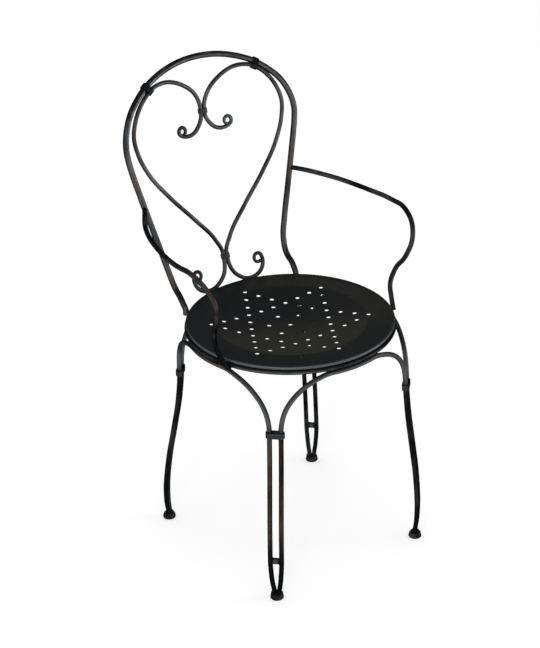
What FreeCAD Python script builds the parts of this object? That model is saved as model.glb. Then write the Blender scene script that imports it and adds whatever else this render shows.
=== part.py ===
import FreeCAD, Part
import Sketcher
import math
import os

# Garden armchair of bent round steel bar with a pressed, perforated steel seat.
# The chair faces -Y, +X is to the right as seen from the front, and the floor is z = 0.
# The origin lies on the floor under the middle of the chair's overall box.

V = FreeCAD.Vector
UP = V(0, 0, 1)

doc = FreeCAD.newDocument("garden_armchair")

# Driving dimensions, millimetres and degrees
SIZES = [
    ("gap", 0.3, "clearance left at each welded or bound contact"),
    ("pan_radius", 200.0, "outer radius of the seat pan"),
    ("pan_height", 472.5, "top of the pan's rolled edge above the floor"),
    ("edge_radius", 3.5, "radius of the rolled edge"),
    ("sheet", 1.5, "thickness of the pan's sheet"),
    ("border_step", 2.0, "depth of the flat border below the rolled edge's top"),
    ("dish_radius", 147.0, "radius of the pressed dish"),
    ("dish_depth", 11.5, "depth of the dish below the border"),
    ("star_pitch", 29.0, "distance between neighbouring holes of the star"),
    ("hole_radius", 4.0, "radius of a hole in the pan"),
    ("ring_inset", 2.0, "how far the ring's centreline lies inside the pan's outer radius"),
    ("ring_rod", 4.3, "radius of the ring's bar"),
    ("hoop_rod", 5.9, "radius of the back hoop's bar"),
    ("hoop_half_width", 194.5, "half the hoop's greatest width, on the centreline"),
    ("hoop_top", 916.0, "height of the hoop's crown, on the centreline"),
    ("hoop_rise", 133.0, "height of the crown above the hoop's greatest width"),
    ("hoop_shoulder", 6.9, "how far the straight sides, carried on, would miss the greatest width"),
    ("hoop_foot_angle", 50.5, "angle of the hoop's feet round the seat, from +X"),
    ("hoop_foot_tail", 4.0, "how far the hoop's bar runs down past the ring's middle"),
    ("hoop_spread", 12.63, "how far the hoop's straight sides begin outside its feet"),
    ("hoop_straight", 105.0, "height above the ring at which the straight sides begin"),
    ("hoop_collar_turn", 49.8, "place of a collar on the hoop's elliptical top"),
    ("back_inset", 5.7, "how far the back's sides stand inside the pan's rear edge"),
    ("back_lean", 9.43, "lean of the back from the vertical"),
    ("wrap_low", 13.7, "depth of the back's curve round the sitter, low down"),
    ("wrap_high", 26.7, "depth of the back's curve round the sitter, at the top"),
    ("wrap_inset", 9.5, "how far inside the hoop's greatest width that curve begins"),
    ("heart_rod", 4.2, "radius of the heart's bars"),
    ("heart_inset", 23.5, "how far the heart's sides lie inside the hoop's greatest width"),
    ("heart_drop", 30.5, "how far the heart's lobes lie below the hoop's crown"),
    ("heart_front", 6.0, "how far the heart's lobes lie in front of the hoop"),
    ("heart_dip", 74.5, "how far below its lobes the heart's halves meet above"),
    ("heart_knot", 56.0, "height above the rolled edge at which the heart's halves meet below"),
    ("heart_rest", 38.0, "distance from the middle at which the heart's foot rests on the pan"),
    ("rest_lift", 1.5, "height of the heart's foot above the middle of the rolled edge"),
    ("tie_length", 9.0, "length of the ties that bind the heart's halves"),
    ("eye_closing", 0.1, "share of its radius by which an eye closes in at its tail"),
    ("upper_eye", 8.2, "centreline radius of the upper scroll's eye"),
    ("lower_eye", 9.0, "centreline radius of the lower scroll's eye"),
    ("arm_rod", 4.8, "radius of an arm's bar"),
    ("arm_spread", 47.0, "how far the arms' centrelines lie outside the pan"),
    ("arm_height", 652.0, "height of the arm's level stretch"),
    ("arm_root_height", 667.0, "height of the arm's joint on the hoop"),
    ("arm_front", 88.0, "how far the arm reaches in front of the seat's axis"),
    ("arm_foot_tail", 2.0, "how far the arm's bar runs down past the ring's middle"),
    ("arm_foot_angle", -20.7, "angle of the arm's foot round the seat, from +X"),
    ("leg_rod", 4.75, "radius of a leg's bars"),
    ("leg_spacing", 21.5, "distance between the two bars of a leg"),
    ("leg_collar_height", 345.0, "height of the collar on a leg"),
    ("leg_middle", 216.0, "height of the leg's halfway station"),
    ("knee_height", 68.0, "height at which a leg bends in towards its foot"),
    ("bridge_height", 86.0, "height of the short bar low on a leg"),
    ("front_reach_top", 25.4, "how far a front leg's collar stands outside the ring"),
    ("front_reach_mid", 38.9, "the same distance halfway down the leg"),
    ("front_reach_knee", 51.9, "the same distance at the knee"),
    ("front_reach_foot", 48.0, "the same distance at the foot"),
    ("rear_reach_top", 21.5, "how far a rear leg's collar stands outside the ring"),
    ("rear_reach_mid", 39.5, "the same distance halfway down the leg"),
    ("rear_reach_knee", 62.5, "the same distance at the knee"),
    ("rear_reach_foot", 60.5, "the same distance at the foot"),
    ("front_leg_angle", 46.1, "angle of a front leg round the seat, below the X axis"),
    ("rear_leg_angle", 45.0, "angle of a rear leg round the seat, above the X axis"),
    ("crown_angle", 13.0, "half the angle over which an arch follows the ring"),
    ("arch_spring", 7.5, "height above a leg's collar at which its bars begin to part"),
    ("arch_bow", 4.0, "how far an arch bows outwards between its leg and the ring"),
    ("band_gap", 0.5, "clearance between a strap and the bars it holds"),
    ("band_wall", 1.9, "thickness of a collar's strap"),
    ("band_round", 0.45, "radius of a strap's rims as a share of its thickness"),
    ("band_length", 12.0, "length of a collar along its bars"),
    ("tie_wall", 0.9, "thickness of the ties that bind the heart's halves"),
    ("bridge_thick", 11.0, "height of the short bar low on a leg"),
    ("bridge_share", 0.6, "half the short bar's depth as a share of the leg bar's radius"),
    ("foot_radius", 12.9, "radius of a foot's pad"),
    ("foot_height", 11.0, "height of a foot's pad"),
    ("foot_neck", 10.4, "radius of the pad's flat top"),
    ("foot_edge", 2.2, "radius of the pad's lower edge"),
]

sheet = doc.addObject("Spreadsheet::Sheet", "Sizes")
for row, (name, value, note) in enumerate(SIZES, start=1):
    sheet.set("A%d" % row, name)
    sheet.set("B%d" % row, str(value))
    sheet.set("C%d" % row, note)
    sheet.setAlias("B%d" % row, name)
doc.recompute()
size = {name: float(sheet.get(name)) for name, value, note in SIZES}

edge_height = size["pan_height"] - size["edge_radius"]
edge_ring = size["pan_radius"] - size["edge_radius"]
ring_radius = size["pan_radius"] - size["ring_inset"]
hoop_wide_height = size["hoop_top"] - size["hoop_rise"]
heart_top = size["hoop_top"] - size["heart_drop"]
heart_half_width = size["hoop_half_width"] - size["heart_inset"]
upper_touch = heart_top - size["heart_dip"]
lower_touch = edge_height + size["heart_knot"]

# The ring lies under the rolled edge, a clearance away from it
seat_step = ring_radius - edge_ring
seat_reach = size["edge_radius"] + size["ring_rod"] + size["gap"]
ring_height = edge_height - math.sqrt(seat_reach ** 2 - seat_step ** 2)

# Heights over which the back's curve deepens and the heart steps forward
WRAP_START = 103.0
WRAP_BLEND = 110.0
SHIFT_BLEND = 70.0
SHIFT_START_UPPER = 5.0
SHIFT_START_LOWER = 15.0


def smooth(t):
    """Go from 0 to 1 with a level start and end as t goes from 0 to 1."""
    t = min(max(t, 0.0), 1.0)
    return t * t * (3 - 2 * t)


def back_y(x, z):
    """The curved surface in which the hoop and the heart lie, measured from the seat's axis."""
    deeper = smooth((z - hoop_wide_height + WRAP_START) / WRAP_BLEND)
    wrap = size["wrap_low"] + (size["wrap_high"] - size["wrap_low"]) * deeper
    lean = math.tan(math.radians(size["back_lean"])) * (z - edge_height)
    share = x / (size["hoop_half_width"] - size["wrap_inset"])
    sides = size["pan_radius"] - size["back_inset"]
    return sides + lean + wrap * (1 - share ** 2)


# The seat's axis is moved so that the overall box is centred on the origin
front_end = -(ring_radius + size["ring_rod"])
rear_end = back_y(0, size["hoop_top"]) + size["hoop_rod"]
seat_y = -(front_end + rear_end) / 2


def spot(x, y, z):
    """A point given from the seat's axis and the floor."""
    return V(x, y + seat_y, z)


def around(radius, angle, z, side=0.0):
    """A point at a distance and angle round the seat's axis, shifted sideways along the ring."""
    a = math.radians(angle)
    x = radius * math.cos(a) - side * math.sin(a)
    y = radius * math.sin(a) + side * math.cos(a)
    return spot(x, y, z)


def mirrored(points):
    return [V(-p.x, p.y, p.z) for p in points]


def tangents(points, start=None, end=None, fixed=None):
    """The direction at each point of the circle through it and its neighbours."""
    steps = [b - a for a, b in zip(points, points[1:])]
    inner = []
    for a, b in zip(steps, steps[1:]):
        t = a * (b.Length / a.Length) + b * (a.Length / b.Length)
        inner.append(t.normalize())
    first = start or reflected(inner[0], steps[0])
    last = end or reflected(inner[-1], steps[-1])
    result = [first] + inner + [last]
    for index, direction in (fixed or {}).items():
        result[index] = direction
    return result


def reflected(t, chord):
    d = V(chord).normalize()
    return (d * (2 * t.dot(d)) - t).normalize()


def arc_edge(a, b, t, anchor):
    """The arc from a to b whose direction at the anchor end is t, or a line if it is straight."""
    chord = b - a
    along = V(chord).normalize()
    across = t - along * t.dot(along)
    if across.Length < 1e-5:
        return Part.makeLine(a, b)
    half_turn = math.atan2(across.Length, t.dot(along))
    bulge = chord.Length / 2 * math.tan(half_turn / 2)
    side = 1 if anchor == "start" else -1
    middle = (a + b) * 0.5 + across.normalize() * (bulge * side)
    return Part.Arc(a, middle, b).toShape()


def bent_wire(points, start=None, end=None, fixed=None):
    """A smooth path through the points: two tangent arcs from each point to the next."""
    directions = tangents(points, start, end, fixed)
    edges = []
    for a, b, t0, t1 in zip(points, points[1:], directions, directions[1:]):
        v = b - a
        t = t0 + t1
        k = 2 * (1 - t0.dot(t1))
        if k < 1e-9:
            d = v.dot(v) / (4 * v.dot(t1))
        else:
            d = (math.sqrt(v.dot(t) ** 2 + k * v.dot(v)) - v.dot(t)) / k
        joint = (a + b + (t0 - t1) * d) * 0.5
        edges.append(arc_edge(a, joint, t0, "start"))
        edges.append(arc_edge(joint, b, t1, "end"))
    return Part.Wire(edges)


subparts = []


def bar(label, radius_name, points, start=None, end=None, fixed=None):
    """A round bar bent along the points."""
    path = doc.addObject("Part::Feature", label + "_path")
    path.Shape = bent_wire(points, start, end, fixed)
    section = doc.addObject("Part::Circle", label + "_section")
    section.setExpression("Radius", "Sizes." + radius_name)
    heading = path.Shape.Edges[0].tangentAt(path.Shape.Edges[0].FirstParameter)
    section.Placement = FreeCAD.Placement(points[0], FreeCAD.Rotation(UP, heading))
    sweep = doc.addObject("Part::Sweep", label)
    sweep.Sections = [section]
    sweep.Spine = (path, ["Edge%d" % (i + 1) for i in range(len(path.Shape.Edges))])
    sweep.Solid = True
    sweep.Frenet = False
    sweep.Label = label
    doc.recompute()
    expected = math.pi * size[radius_name] ** 2 * path.Shape.Length
    if abs(sweep.Shape.Volume / expected - 1) > 0.002:
        raise ValueError(label + " is not as full as its bar")
    subparts.append(sweep)
    return path.Shape


def origin_plane(body, role):
    return next(f for f in body.Origin.OriginFeatures if f.Role == role)


def new_body(label, role="XY_Plane"):
    body = doc.addObject("PartDesign::Body", label)
    body.Label = label
    sketch = new_sketch(body, label + "_outline", role)
    subparts.append(body)
    return body, sketch


def new_sketch(body, name, role):
    sketch = body.newObject("Sketcher::SketchObject", name)
    sketch.AttachmentSupport = [(origin_plane(body, role), "")]
    sketch.MapMode = "FlatFace"
    return sketch


def bind(sketch, constraint, formula):
    """Add a constraint whose value is worked out from the sizes."""
    index = sketch.addConstraint(constraint)
    sketch.setExpression("Constraints[%d]" % index, formula)


def band_outline(sketch, radius_a, radius_b, spacing, guess):
    """The outline of a strap pulled tight round two bars side by side, the first at the origin."""
    ra, rb, d = guess
    lean = math.asin((ra - rb) / d)
    c, s = math.cos(lean), math.sin(lean)
    top = Part.LineSegment(V(ra * s, ra * c, 0), V(d + rb * s, rb * c, 0))
    low = Part.LineSegment(V(d + rb * s, -rb * c, 0), V(ra * s, -ra * c, 0))
    near = Part.ArcOfCircle(Part.Circle(V(0, 0, 0), UP, ra), math.pi / 2 - lean, 1.5 * math.pi + lean)
    far = Part.ArcOfCircle(Part.Circle(V(d, 0, 0), UP, rb), -math.pi / 2 + lean, math.pi / 2 - lean)
    first = sketch.addGeometry(top, False)
    sketch.addGeometry(far, False)
    sketch.addGeometry(low, False)
    sketch.addGeometry(near, False)
    second, third, fourth = first + 1, first + 2, first + 3
    sketch.addConstraint(Sketcher.Constraint("Tangent", first, 2, second, 2))
    sketch.addConstraint(Sketcher.Constraint("Tangent", second, 1, third, 1))
    sketch.addConstraint(Sketcher.Constraint("Tangent", third, 2, fourth, 2))
    sketch.addConstraint(Sketcher.Constraint("Tangent", fourth, 1, first, 1))
    sketch.addConstraint(Sketcher.Constraint("Coincident", fourth, 3, -1, 1))
    sketch.addConstraint(Sketcher.Constraint("PointOnObject", second, 3, -1))
    bind(sketch, Sketcher.Constraint("DistanceX", fourth, 3, second, 3, d), spacing)
    bind(sketch, Sketcher.Constraint("Radius", fourth, ra), radius_a)
    bind(sketch, Sketcher.Constraint("Radius", second, rb), radius_b)


def band(label, bar_a, bar_b, spacing, wall, length, placement):
    """A strap round two bars: its outline padded, the bars' room cut out, its rims rounded."""
    body, outer = new_body(label)
    d = size[spacing] if spacing in size else size[bar_a] + size[bar_b] + size["gap"]
    spacing_rule = ("Sizes." + spacing if spacing in size
                    else "Sizes.%s + Sizes.%s + Sizes.gap" % (bar_a, bar_b))
    radii = [size[bar_a] + size["band_gap"], size[bar_b] + size["band_gap"]]
    rules = ["Sizes.%s + Sizes.band_gap" % bar_a, "Sizes.%s + Sizes.band_gap" % bar_b]
    band_outline(outer, rules[0] + " + Sizes." + wall, rules[1] + " + Sizes." + wall, spacing_rule,
                 (radii[0] + size[wall], radii[1] + size[wall], d))
    doc.recompute()
    pad = body.newObject("PartDesign::Pad", label + "_strap")
    pad.Profile = outer
    pad.setExpression("Length", "Sizes." + length)
    pad.Midplane = True
    inner = new_sketch(body, label + "_room", "XY_Plane")
    band_outline(inner, rules[0], rules[1], spacing_rule, (radii[0], radii[1], d))
    doc.recompute()
    full = body.Shape.Volume
    pocket = body.newObject("PartDesign::Pocket", label + "_hollow")
    pocket.Profile = inner
    pocket.Type = 1
    pocket.Midplane = True
    doc.recompute()
    if body.Shape.Volume > full * 0.9:
        raise ValueError(label + " has no room for its bars")
    rims = body.newObject("PartDesign::Fillet", label + "_rims")
    rims.Base = (pocket, outer_rims(pocket.Shape, size[length]))
    rims.setExpression("Radius", "Sizes.%s * Sizes.band_round" % wall)
    body.Tip = rims
    body.Placement = placement
    doc.recompute()
    return body


def outer_rims(shape, length):
    """Names of the edges of the strap's two outer rims."""
    names = []
    for face_index, face in enumerate(shape.Faces, start=1):
        level = abs(abs(face.CenterOfMass.z) - length / 2) < 1e-6
        if not level:
            continue
        for edge in face.OuterWire.Edges:
            for index, other in enumerate(shape.Edges, start=1):
                if other.isSame(edge):
                    names.append("Edge%d" % index)
    return names


def facing(point, along, across):
    """A placement at a point: local Z along the bars, local X across them."""
    z = V(along).normalize()
    x = V(across) - z * across.dot(z)
    x.normalize()
    y = z.cross(x)
    turn = FreeCAD.Matrix(x.x, y.x, z.x, 0, x.y, y.y, z.y, 0, x.z, y.z, z.z, 0, 0, 0, 0, 1)
    return FreeCAD.Placement(point, FreeCAD.Placement(turn).Rotation)


def seat_pan():
    """Pressed sheet: dished middle, flat border, rolled edge, and a star of round holes."""
    body, outline = new_body("seat_pan", "XZ_Plane")
    drop = size["border_step"]
    bead = size["edge_radius"]
    top = size["pan_height"] - drop
    low = top - size["sheet"]
    dish = size["dish_radius"]
    deep = size["dish_depth"]
    ball = (dish ** 2 + deep ** 2) / (2 * deep)
    spread = math.asin(dish / ball)
    reach_top = math.sqrt(bead ** 2 - (top - edge_height) ** 2)
    reach_low = math.sqrt(bead ** 2 - (low - edge_height) ** 2)
    upper = Part.ArcOfCircle(Part.Circle(V(0, top - deep + ball, 0), UP, ball),
                             1.5 * math.pi, 1.5 * math.pi + spread)
    lower = Part.ArcOfCircle(Part.Circle(V(0, low - deep + ball, 0), UP, ball),
                             1.5 * math.pi, 1.5 * math.pi + spread)
    turn_low = -math.pi + math.asin((edge_height - low) / bead)
    turn_top = math.pi - math.asin((top - edge_height) / bead)
    rolled = Part.ArcOfCircle(Part.Circle(V(edge_ring, edge_height, 0), UP, bead), turn_low, turn_top)
    pieces = [
        upper,
        Part.LineSegment(V(dish, top, 0), V(edge_ring - reach_top, top, 0)),
        rolled,
        Part.LineSegment(V(edge_ring - reach_low, low, 0), V(dish, low, 0)),
        lower,
        Part.LineSegment(V(0, low - deep, 0), V(0, top - deep, 0)),
    ]
    for piece in pieces:
        outline.addGeometry(piece, False)
    for a, pa, b, pb in ((0, 2, 1, 1), (1, 2, 2, 2), (2, 1, 3, 1), (3, 2, 4, 2), (4, 1, 5, 1), (5, 2, 0, 1)):
        outline.addConstraint(Sketcher.Constraint("Coincident", a, pa, b, pb))
    for centre in (0, 4):
        outline.addConstraint(Sketcher.Constraint("PointOnObject", centre, 3, -2))
    outline.addConstraint(Sketcher.Constraint("PointOnObject", 5, 1, -2))
    outline.addConstraint(Sketcher.Constraint("PointOnObject", 5, 2, -2))
    outline.addConstraint(Sketcher.Constraint("Horizontal", 1))
    outline.addConstraint(Sketcher.Constraint("Horizontal", 3))
    rules = [
        (("DistanceX", -1, 1, 0, 2, dish), "Sizes.dish_radius"),
        (("DistanceX", -1, 1, 4, 2, dish), "Sizes.dish_radius"),
        (("DistanceY", -1, 1, 0, 2, top), "Sizes.pan_height - Sizes.border_step"),
        (("DistanceY", -1, 1, 4, 2, low), "Sizes.pan_height - Sizes.border_step - Sizes.sheet"),
        (("DistanceY", -1, 1, 5, 2, top - deep), "Sizes.pan_height - Sizes.border_step - Sizes.dish_depth"),
        (("DistanceY", -1, 1, 5, 1, low - deep),
         "Sizes.pan_height - Sizes.border_step - Sizes.sheet - Sizes.dish_depth"),
        (("DistanceX", -1, 1, 2, 3, edge_ring), "Sizes.pan_radius - Sizes.edge_radius"),
        (("DistanceY", -1, 1, 2, 3, edge_height), "Sizes.pan_height - Sizes.edge_radius"),
        (("Radius", 2, bead), "Sizes.edge_radius"),
    ]
    for values, rule in rules:
        bind(outline, Sketcher.Constraint(*values), rule)
    doc.recompute()
    turned = body.newObject("PartDesign::Revolution", "pan_pressing")
    turned.Profile = outline
    turned.ReferenceAxis = (outline, ["V_Axis"])
    turned.Angle = 360
    doc.recompute()
    plain = body.Shape.Volume
    holes = new_sketch(body, "pan_star", "XY_Plane")
    for x, y, rule_x, rule_y in star_sector():
        add_hole(holes, x, y, rule_x, rule_y)
    doc.recompute()
    punched = body.newObject("PartDesign::Pocket", "pan_sector_holes")
    punched.Profile = holes
    punched.Type = 1
    punched.Midplane = True
    doc.recompute()
    sector = plain - body.Shape.Volume
    star = body.newObject("PartDesign::PolarPattern", "pan_star_pattern")
    star.Originals = [punched]
    star.Axis = (origin_plane(body, "Z_Axis"), [""])
    star.Angle = 360
    star.Occurrences = 6
    body.Tip = star
    doc.recompute()
    middle = new_sketch(body, "pan_middle", "XY_Plane")
    add_hole(middle, 0.0, 0.0, None, None)
    doc.recompute()
    centre = body.newObject("PartDesign::Pocket", "pan_middle_hole")
    centre.Profile = middle
    centre.Type = 1
    centre.Midplane = True
    body.Tip = centre
    body.Placement = FreeCAD.Placement(spot(0, 0, 0), FreeCAD.Rotation())
    doc.recompute()
    removed = plain - body.Shape.Volume
    if not 5.9 * sector < removed < 6.4 * sector:
        raise ValueError("the seat's star of holes is not complete")


def star_sector():
    """Holes of one sixth of a six-pointed star of nine steps a side, tips on the X axis."""
    inner = 9 / (2 * math.sqrt(3))
    a = math.radians(30)
    for index in (0, 1, 2, 3, 4, 5, 7, 8):
        along = index - 4.5
        x = inner * math.cos(a) - along * math.sin(a)
        y = inner * math.sin(a) + along * math.cos(a)
        yield from_pitch(x, y)
    yield from_pitch(1.4 * math.cos(a), 1.4 * math.sin(a))


def from_pitch(x, y):
    pitch = size["star_pitch"]
    return x * pitch, y * pitch, "Sizes.star_pitch * %.6f" % x, "Sizes.star_pitch * %.6f" % y


def add_hole(sketch, x, y, rule_x, rule_y):
    index = sketch.addGeometry(Part.Circle(V(x, y, 0), UP, size["hole_radius"]), False)
    if rule_x is None:
        sketch.addConstraint(Sketcher.Constraint("Coincident", index, 3, -1, 1))
    else:
        bind(sketch, Sketcher.Constraint("DistanceX", -1, 1, index, 3, x), rule_x)
        bind(sketch, Sketcher.Constraint("DistanceY", -1, 1, index, 3, y), rule_y)
    bind(sketch, Sketcher.Constraint("Radius", index, size["hole_radius"]), "Sizes.hole_radius")


def seat_ring():
    """The round bar ring that carries the pan."""
    ring = doc.addObject("Part::Torus", "seat_ring")
    ring.Label = "seat_ring"
    ring.setExpression("Radius1", "Sizes.pan_radius - Sizes.ring_inset")
    ring.setExpression("Radius2", "Sizes.ring_rod")
    ring.Placement = FreeCAD.Placement(spot(0, 0, ring_height), FreeCAD.Rotation())
    subparts.append(ring)


def hoop_top_point(turn):
    """A point of the hoop's elliptical top, by its angle from the greatest width."""
    a = math.radians(turn)
    x = size["hoop_half_width"] * math.cos(a)
    z = hoop_wide_height + size["hoop_rise"] * math.sin(a)
    return on_back(x, z)


def on_back(x, z, forward=0.0):
    return spot(x, back_y(x, z) - forward, z)


def hoop_foot():
    """The hoop's foot, beside the ring."""
    reach = ring_radius + size["ring_rod"] + size["hoop_rod"] + size["gap"]
    return around(reach, size["hoop_foot_angle"], ring_height)


def hoop_flank(z):
    """Half the hoop's width below its greatest width: a straight flare that rounds over into a shoulder."""
    shoulder = size["hoop_shoulder"]
    widest = size["hoop_half_width"] + shoulder
    low = ring_height + size["hoop_straight"]
    narrow = widest - hoop_foot().x - size["hoop_spread"]
    flare = math.sqrt(narrow ** 2 - shoulder ** 2) / (hoop_wide_height - low)
    return widest - math.hypot(flare * (hoop_wide_height - z), shoulder)


# How the hoop leaves its foot: distances out, back and up
HOOP_START = [(0.0, 0.0, 3.0), (1.0, 9.0, 19.0), (1.5, 37.0, 45.0)]
HOOP_LEAVES = (5.5, 1.0, 74.0)
# Stations of its straight side, as shares of the side's height, and of its elliptical top, as angles
HOOP_SIDE_STATIONS = (0.0, 0.3, 0.6, 0.78, 0.9)
HOOP_TOP_STATIONS = (0, 22, 45, 68)


def hoop_side():
    """The hoop's right half, from its foot beside the ring up to just before its crown."""
    foot = hoop_foot()
    points = [V(foot.x, foot.y, ring_height - size["hoop_foot_tail"])]
    for out, back, up in HOOP_START:
        points.append(foot + V(out, back, up))
    out, forward, up = HOOP_LEAVES
    points.append(on_back(foot.x + out, ring_height + up, forward))
    low = ring_height + size["hoop_straight"]
    for share in HOOP_SIDE_STATIONS:
        z = low + share * (hoop_wide_height - low)
        points.append(on_back(hoop_flank(z), z))
    points += [hoop_top_point(turn) for turn in HOOP_TOP_STATIONS]
    return points


def back_hoop():
    side = hoop_side()
    points = side + [hoop_top_point(90)] + mirrored(side)[::-1]
    return bar("back_hoop", "hoop_rod", points, start=V(0, 0, 1), end=V(0, 0, -1),
               fixed={1: V(0, 0, 1), len(side): V(-1, 0, 0), 2 * len(side) - 1: V(0, 0, -1)})


# Side of the hoop on which its collars hold the heart, and the turn over which its heading is taken
COLLAR_SIDE = V(-0.4, -0.6, -0.7)
COLLAR_SPAN = 4.0


def heart_at_collar():
    """Where the heart's bar passes the hoop, beside it, inside and in front, and their direction."""
    turn = size["hoop_collar_turn"]
    along = (hoop_top_point(turn + COLLAR_SPAN) - hoop_top_point(turn - COLLAR_SPAN)).normalize()
    across = (COLLAR_SIDE - along * COLLAR_SIDE.dot(along)).normalize()
    beside = size["hoop_rod"] + size["heart_rod"] + size["gap"]
    return hoop_top_point(turn), hoop_top_point(turn) + across * beside, along


def heart_shift(z):
    """How far the heart lies in front of the back's surface."""
    upper = size["heart_front"] * smooth((z - upper_touch + SHIFT_START_UPPER) / SHIFT_BLEND)
    lower = rest_shift() * smooth((lower_touch + SHIFT_START_LOWER - z) / SHIFT_BLEND)
    return upper + lower


def rest_height():
    """Height of the heart's bar where it rests on the rolled edge."""
    return edge_height + size["rest_lift"]


def rest_shift():
    """The forward shift that lets the heart's foot touch the pan's rolled edge."""
    reach = size["edge_radius"] + size["heart_rod"] + size["gap"]
    radius = edge_ring + math.sqrt(reach ** 2 - (rest_height() - edge_height) ** 2)
    x = size["heart_rest"]
    return back_y(x, rest_height()) - math.sqrt(radius ** 2 - x ** 2)


def heart_point(x, z):
    return on_back(x, z, heart_shift(z))


def eye(x, z, radius, first, last):
    """Points round a scroll's eye, its tail closing in towards the middle."""
    points = []
    for step in range(EYE_STEPS + 1):
        a = math.radians(first + (last - first) * step / EYE_STEPS)
        r = radius * (1 - size["eye_closing"] * step / EYE_STEPS)
        points.append(heart_point(x + r * math.cos(a), z + r * math.sin(a)))
    return points


# Half the heart's outline between its two contacts: shares of its half width and of its height
HEART_FLANK = [(0.102, 0.101), (0.348, 0.247), (0.640, 0.406), (0.860, 0.549), (0.975, 0.677),
               (1.0, 0.765), (0.936, 0.863)]
HEART_LOBE = [(0.509, 1.0), (0.234, 0.957), (0.082, 0.890)]


# The foot of the heart between its lower scroll and its knot: distances from the middle and above its rest
HEART_FOOT_OUT = [(75.5, 9.5), (62.0, 0.5), (49.5, -1.5)]
HEART_FOOT_IN = [(26.0, 6.5), (13.0, 18.5)]
# Its upper end between the upper knot and scroll: distances from the middle and below the knot
HEART_CURL = [(13.5, 27.0), (26.0, 37.5), (40.0, 40.5)]
# Middles of the scrolls' eyes, measured in the same way, and the angles over which each is bent
LOWER_EYE_PLACE = (72.5, 33.0)
LOWER_EYE_TURN = (0, 270)
UPPER_EYE_PLACE = (52.7, 28.6)
UPPER_EYE_TURN = (-75, 205)
EYE_STEPS = 4
KNOT_SPAN = 3.0


def heart_share(across, up):
    return heart_point(across * heart_half_width, lower_touch + up * (heart_top - lower_touch))


def heart_half():
    """The right half of the heart, from the tail of its lower scroll to that of its upper one."""
    touch = size["heart_rod"] + size["gap"] / 2
    straight = size["tie_length"] / 2 + 1
    rest = rest_height()
    collar_spot, collar_along = heart_at_collar()[1:]
    x, up = LOWER_EYE_PLACE
    points = eye(x, rest + up, size["lower_eye"], *LOWER_EYE_TURN)[::-1]
    points += [heart_point(x, rest + up) for x, up in HEART_FOOT_OUT]
    points.append(heart_point(size["heart_rest"], rest))
    points += [heart_point(x, rest + up) for x, up in HEART_FOOT_IN]
    lower = len(points)
    points += [heart_point(touch, lower_touch - straight), heart_point(touch, lower_touch + straight)]
    points += [heart_share(across, up) for across, up in HEART_FLANK]
    collar = len(points)
    points.append(collar_spot)
    points += [heart_share(across, up) for across, up in HEART_LOBE]
    upper = len(points)
    points += [heart_point(touch, upper_touch + straight), heart_point(touch, upper_touch - straight)]
    points += [heart_point(x, upper_touch - down) for x, down in HEART_CURL]
    x, down = UPPER_EYE_PLACE
    points += eye(x, upper_touch - down, size["upper_eye"], *UPPER_EYE_TURN)
    rising = knot_heading(lower_touch)
    falling = knot_heading(upper_touch) * -1
    fixed = {
        lower: rising,
        lower + 1: rising,
        collar: (collar_along if collar_along.x < 0 else collar_along * -1),
        upper: falling,
        upper + 1: falling,
    }
    return points, fixed


def knot_heading(height):
    """The heart's upward direction where its halves lie side by side."""
    touch = size["heart_rod"] + size["gap"] / 2
    return (heart_point(touch, height + KNOT_SPAN) - heart_point(touch, height - KNOT_SPAN)).normalize()


def heart_bars():
    points, fixed = heart_half()
    bar("heart_bar_right", "heart_rod", points, fixed=fixed)
    left = {index: V(-t.x, t.y, t.z) for index, t in fixed.items()}
    bar("heart_bar_left", "heart_rod", mirrored(points), fixed=left)


def back_bands():
    """Collars that hold the heart to the hoop, and ties that hold its halves together."""
    hoop_spot, heart_spot, along = heart_at_collar()
    for side, sign in (("right", 1), ("left", -1)):
        place = V(sign * hoop_spot.x, hoop_spot.y, hoop_spot.z)
        across = V(sign * (heart_spot.x - hoop_spot.x), heart_spot.y - hoop_spot.y, heart_spot.z - hoop_spot.z)
        band("hoop_collar_" + side, "hoop_rod", "heart_rod", "", "band_wall", "band_length",
             facing(place, V(sign * along.x, along.y, along.z), across))
    touch = size["heart_rod"] + size["gap"] / 2
    for name, height in (("heart_tie_upper", upper_touch), ("heart_tie_lower", lower_touch)):
        place = facing(heart_point(-touch, height), knot_heading(height), V(1, 0, 0))
        band(name, "heart_rod", "heart_rod", "", "tie_wall", "tie_length", place)


# The arm's bends. First: distances in from the arms' width, behind the seat's axis, and above the level
ARM_TOP = [(32.0, 154.0, 8.0), (7.0, 66.0, 2.0), (0.0, 5.0, 0.0)]
# Then: distance in, share of the reach to the front, and distance below the level
ARM_FRONT = [(4.0, 0.51, 3.5), (11.5, 0.85, 22.0)]
# Then: distance in, share of the reach to the front, and share of the drop to the ring
ARM_FALL = [(20.5, 0.99, 0.25), (28.5, 0.90, 0.43)]
# Last: distances out from the foot and behind it, and share of the drop
ARM_FOOT = [(16.0, 17.0, 0.62), (10.5, 24.0, 0.80), (6.5, 14.5, 0.915)]
# Direction in which the arm leaves the hoop, before it is squared to the hoop's bar
ARM_LEAVES = V(0.515, -0.848, -0.106)
ROOT_SPAN = 5.0


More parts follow.
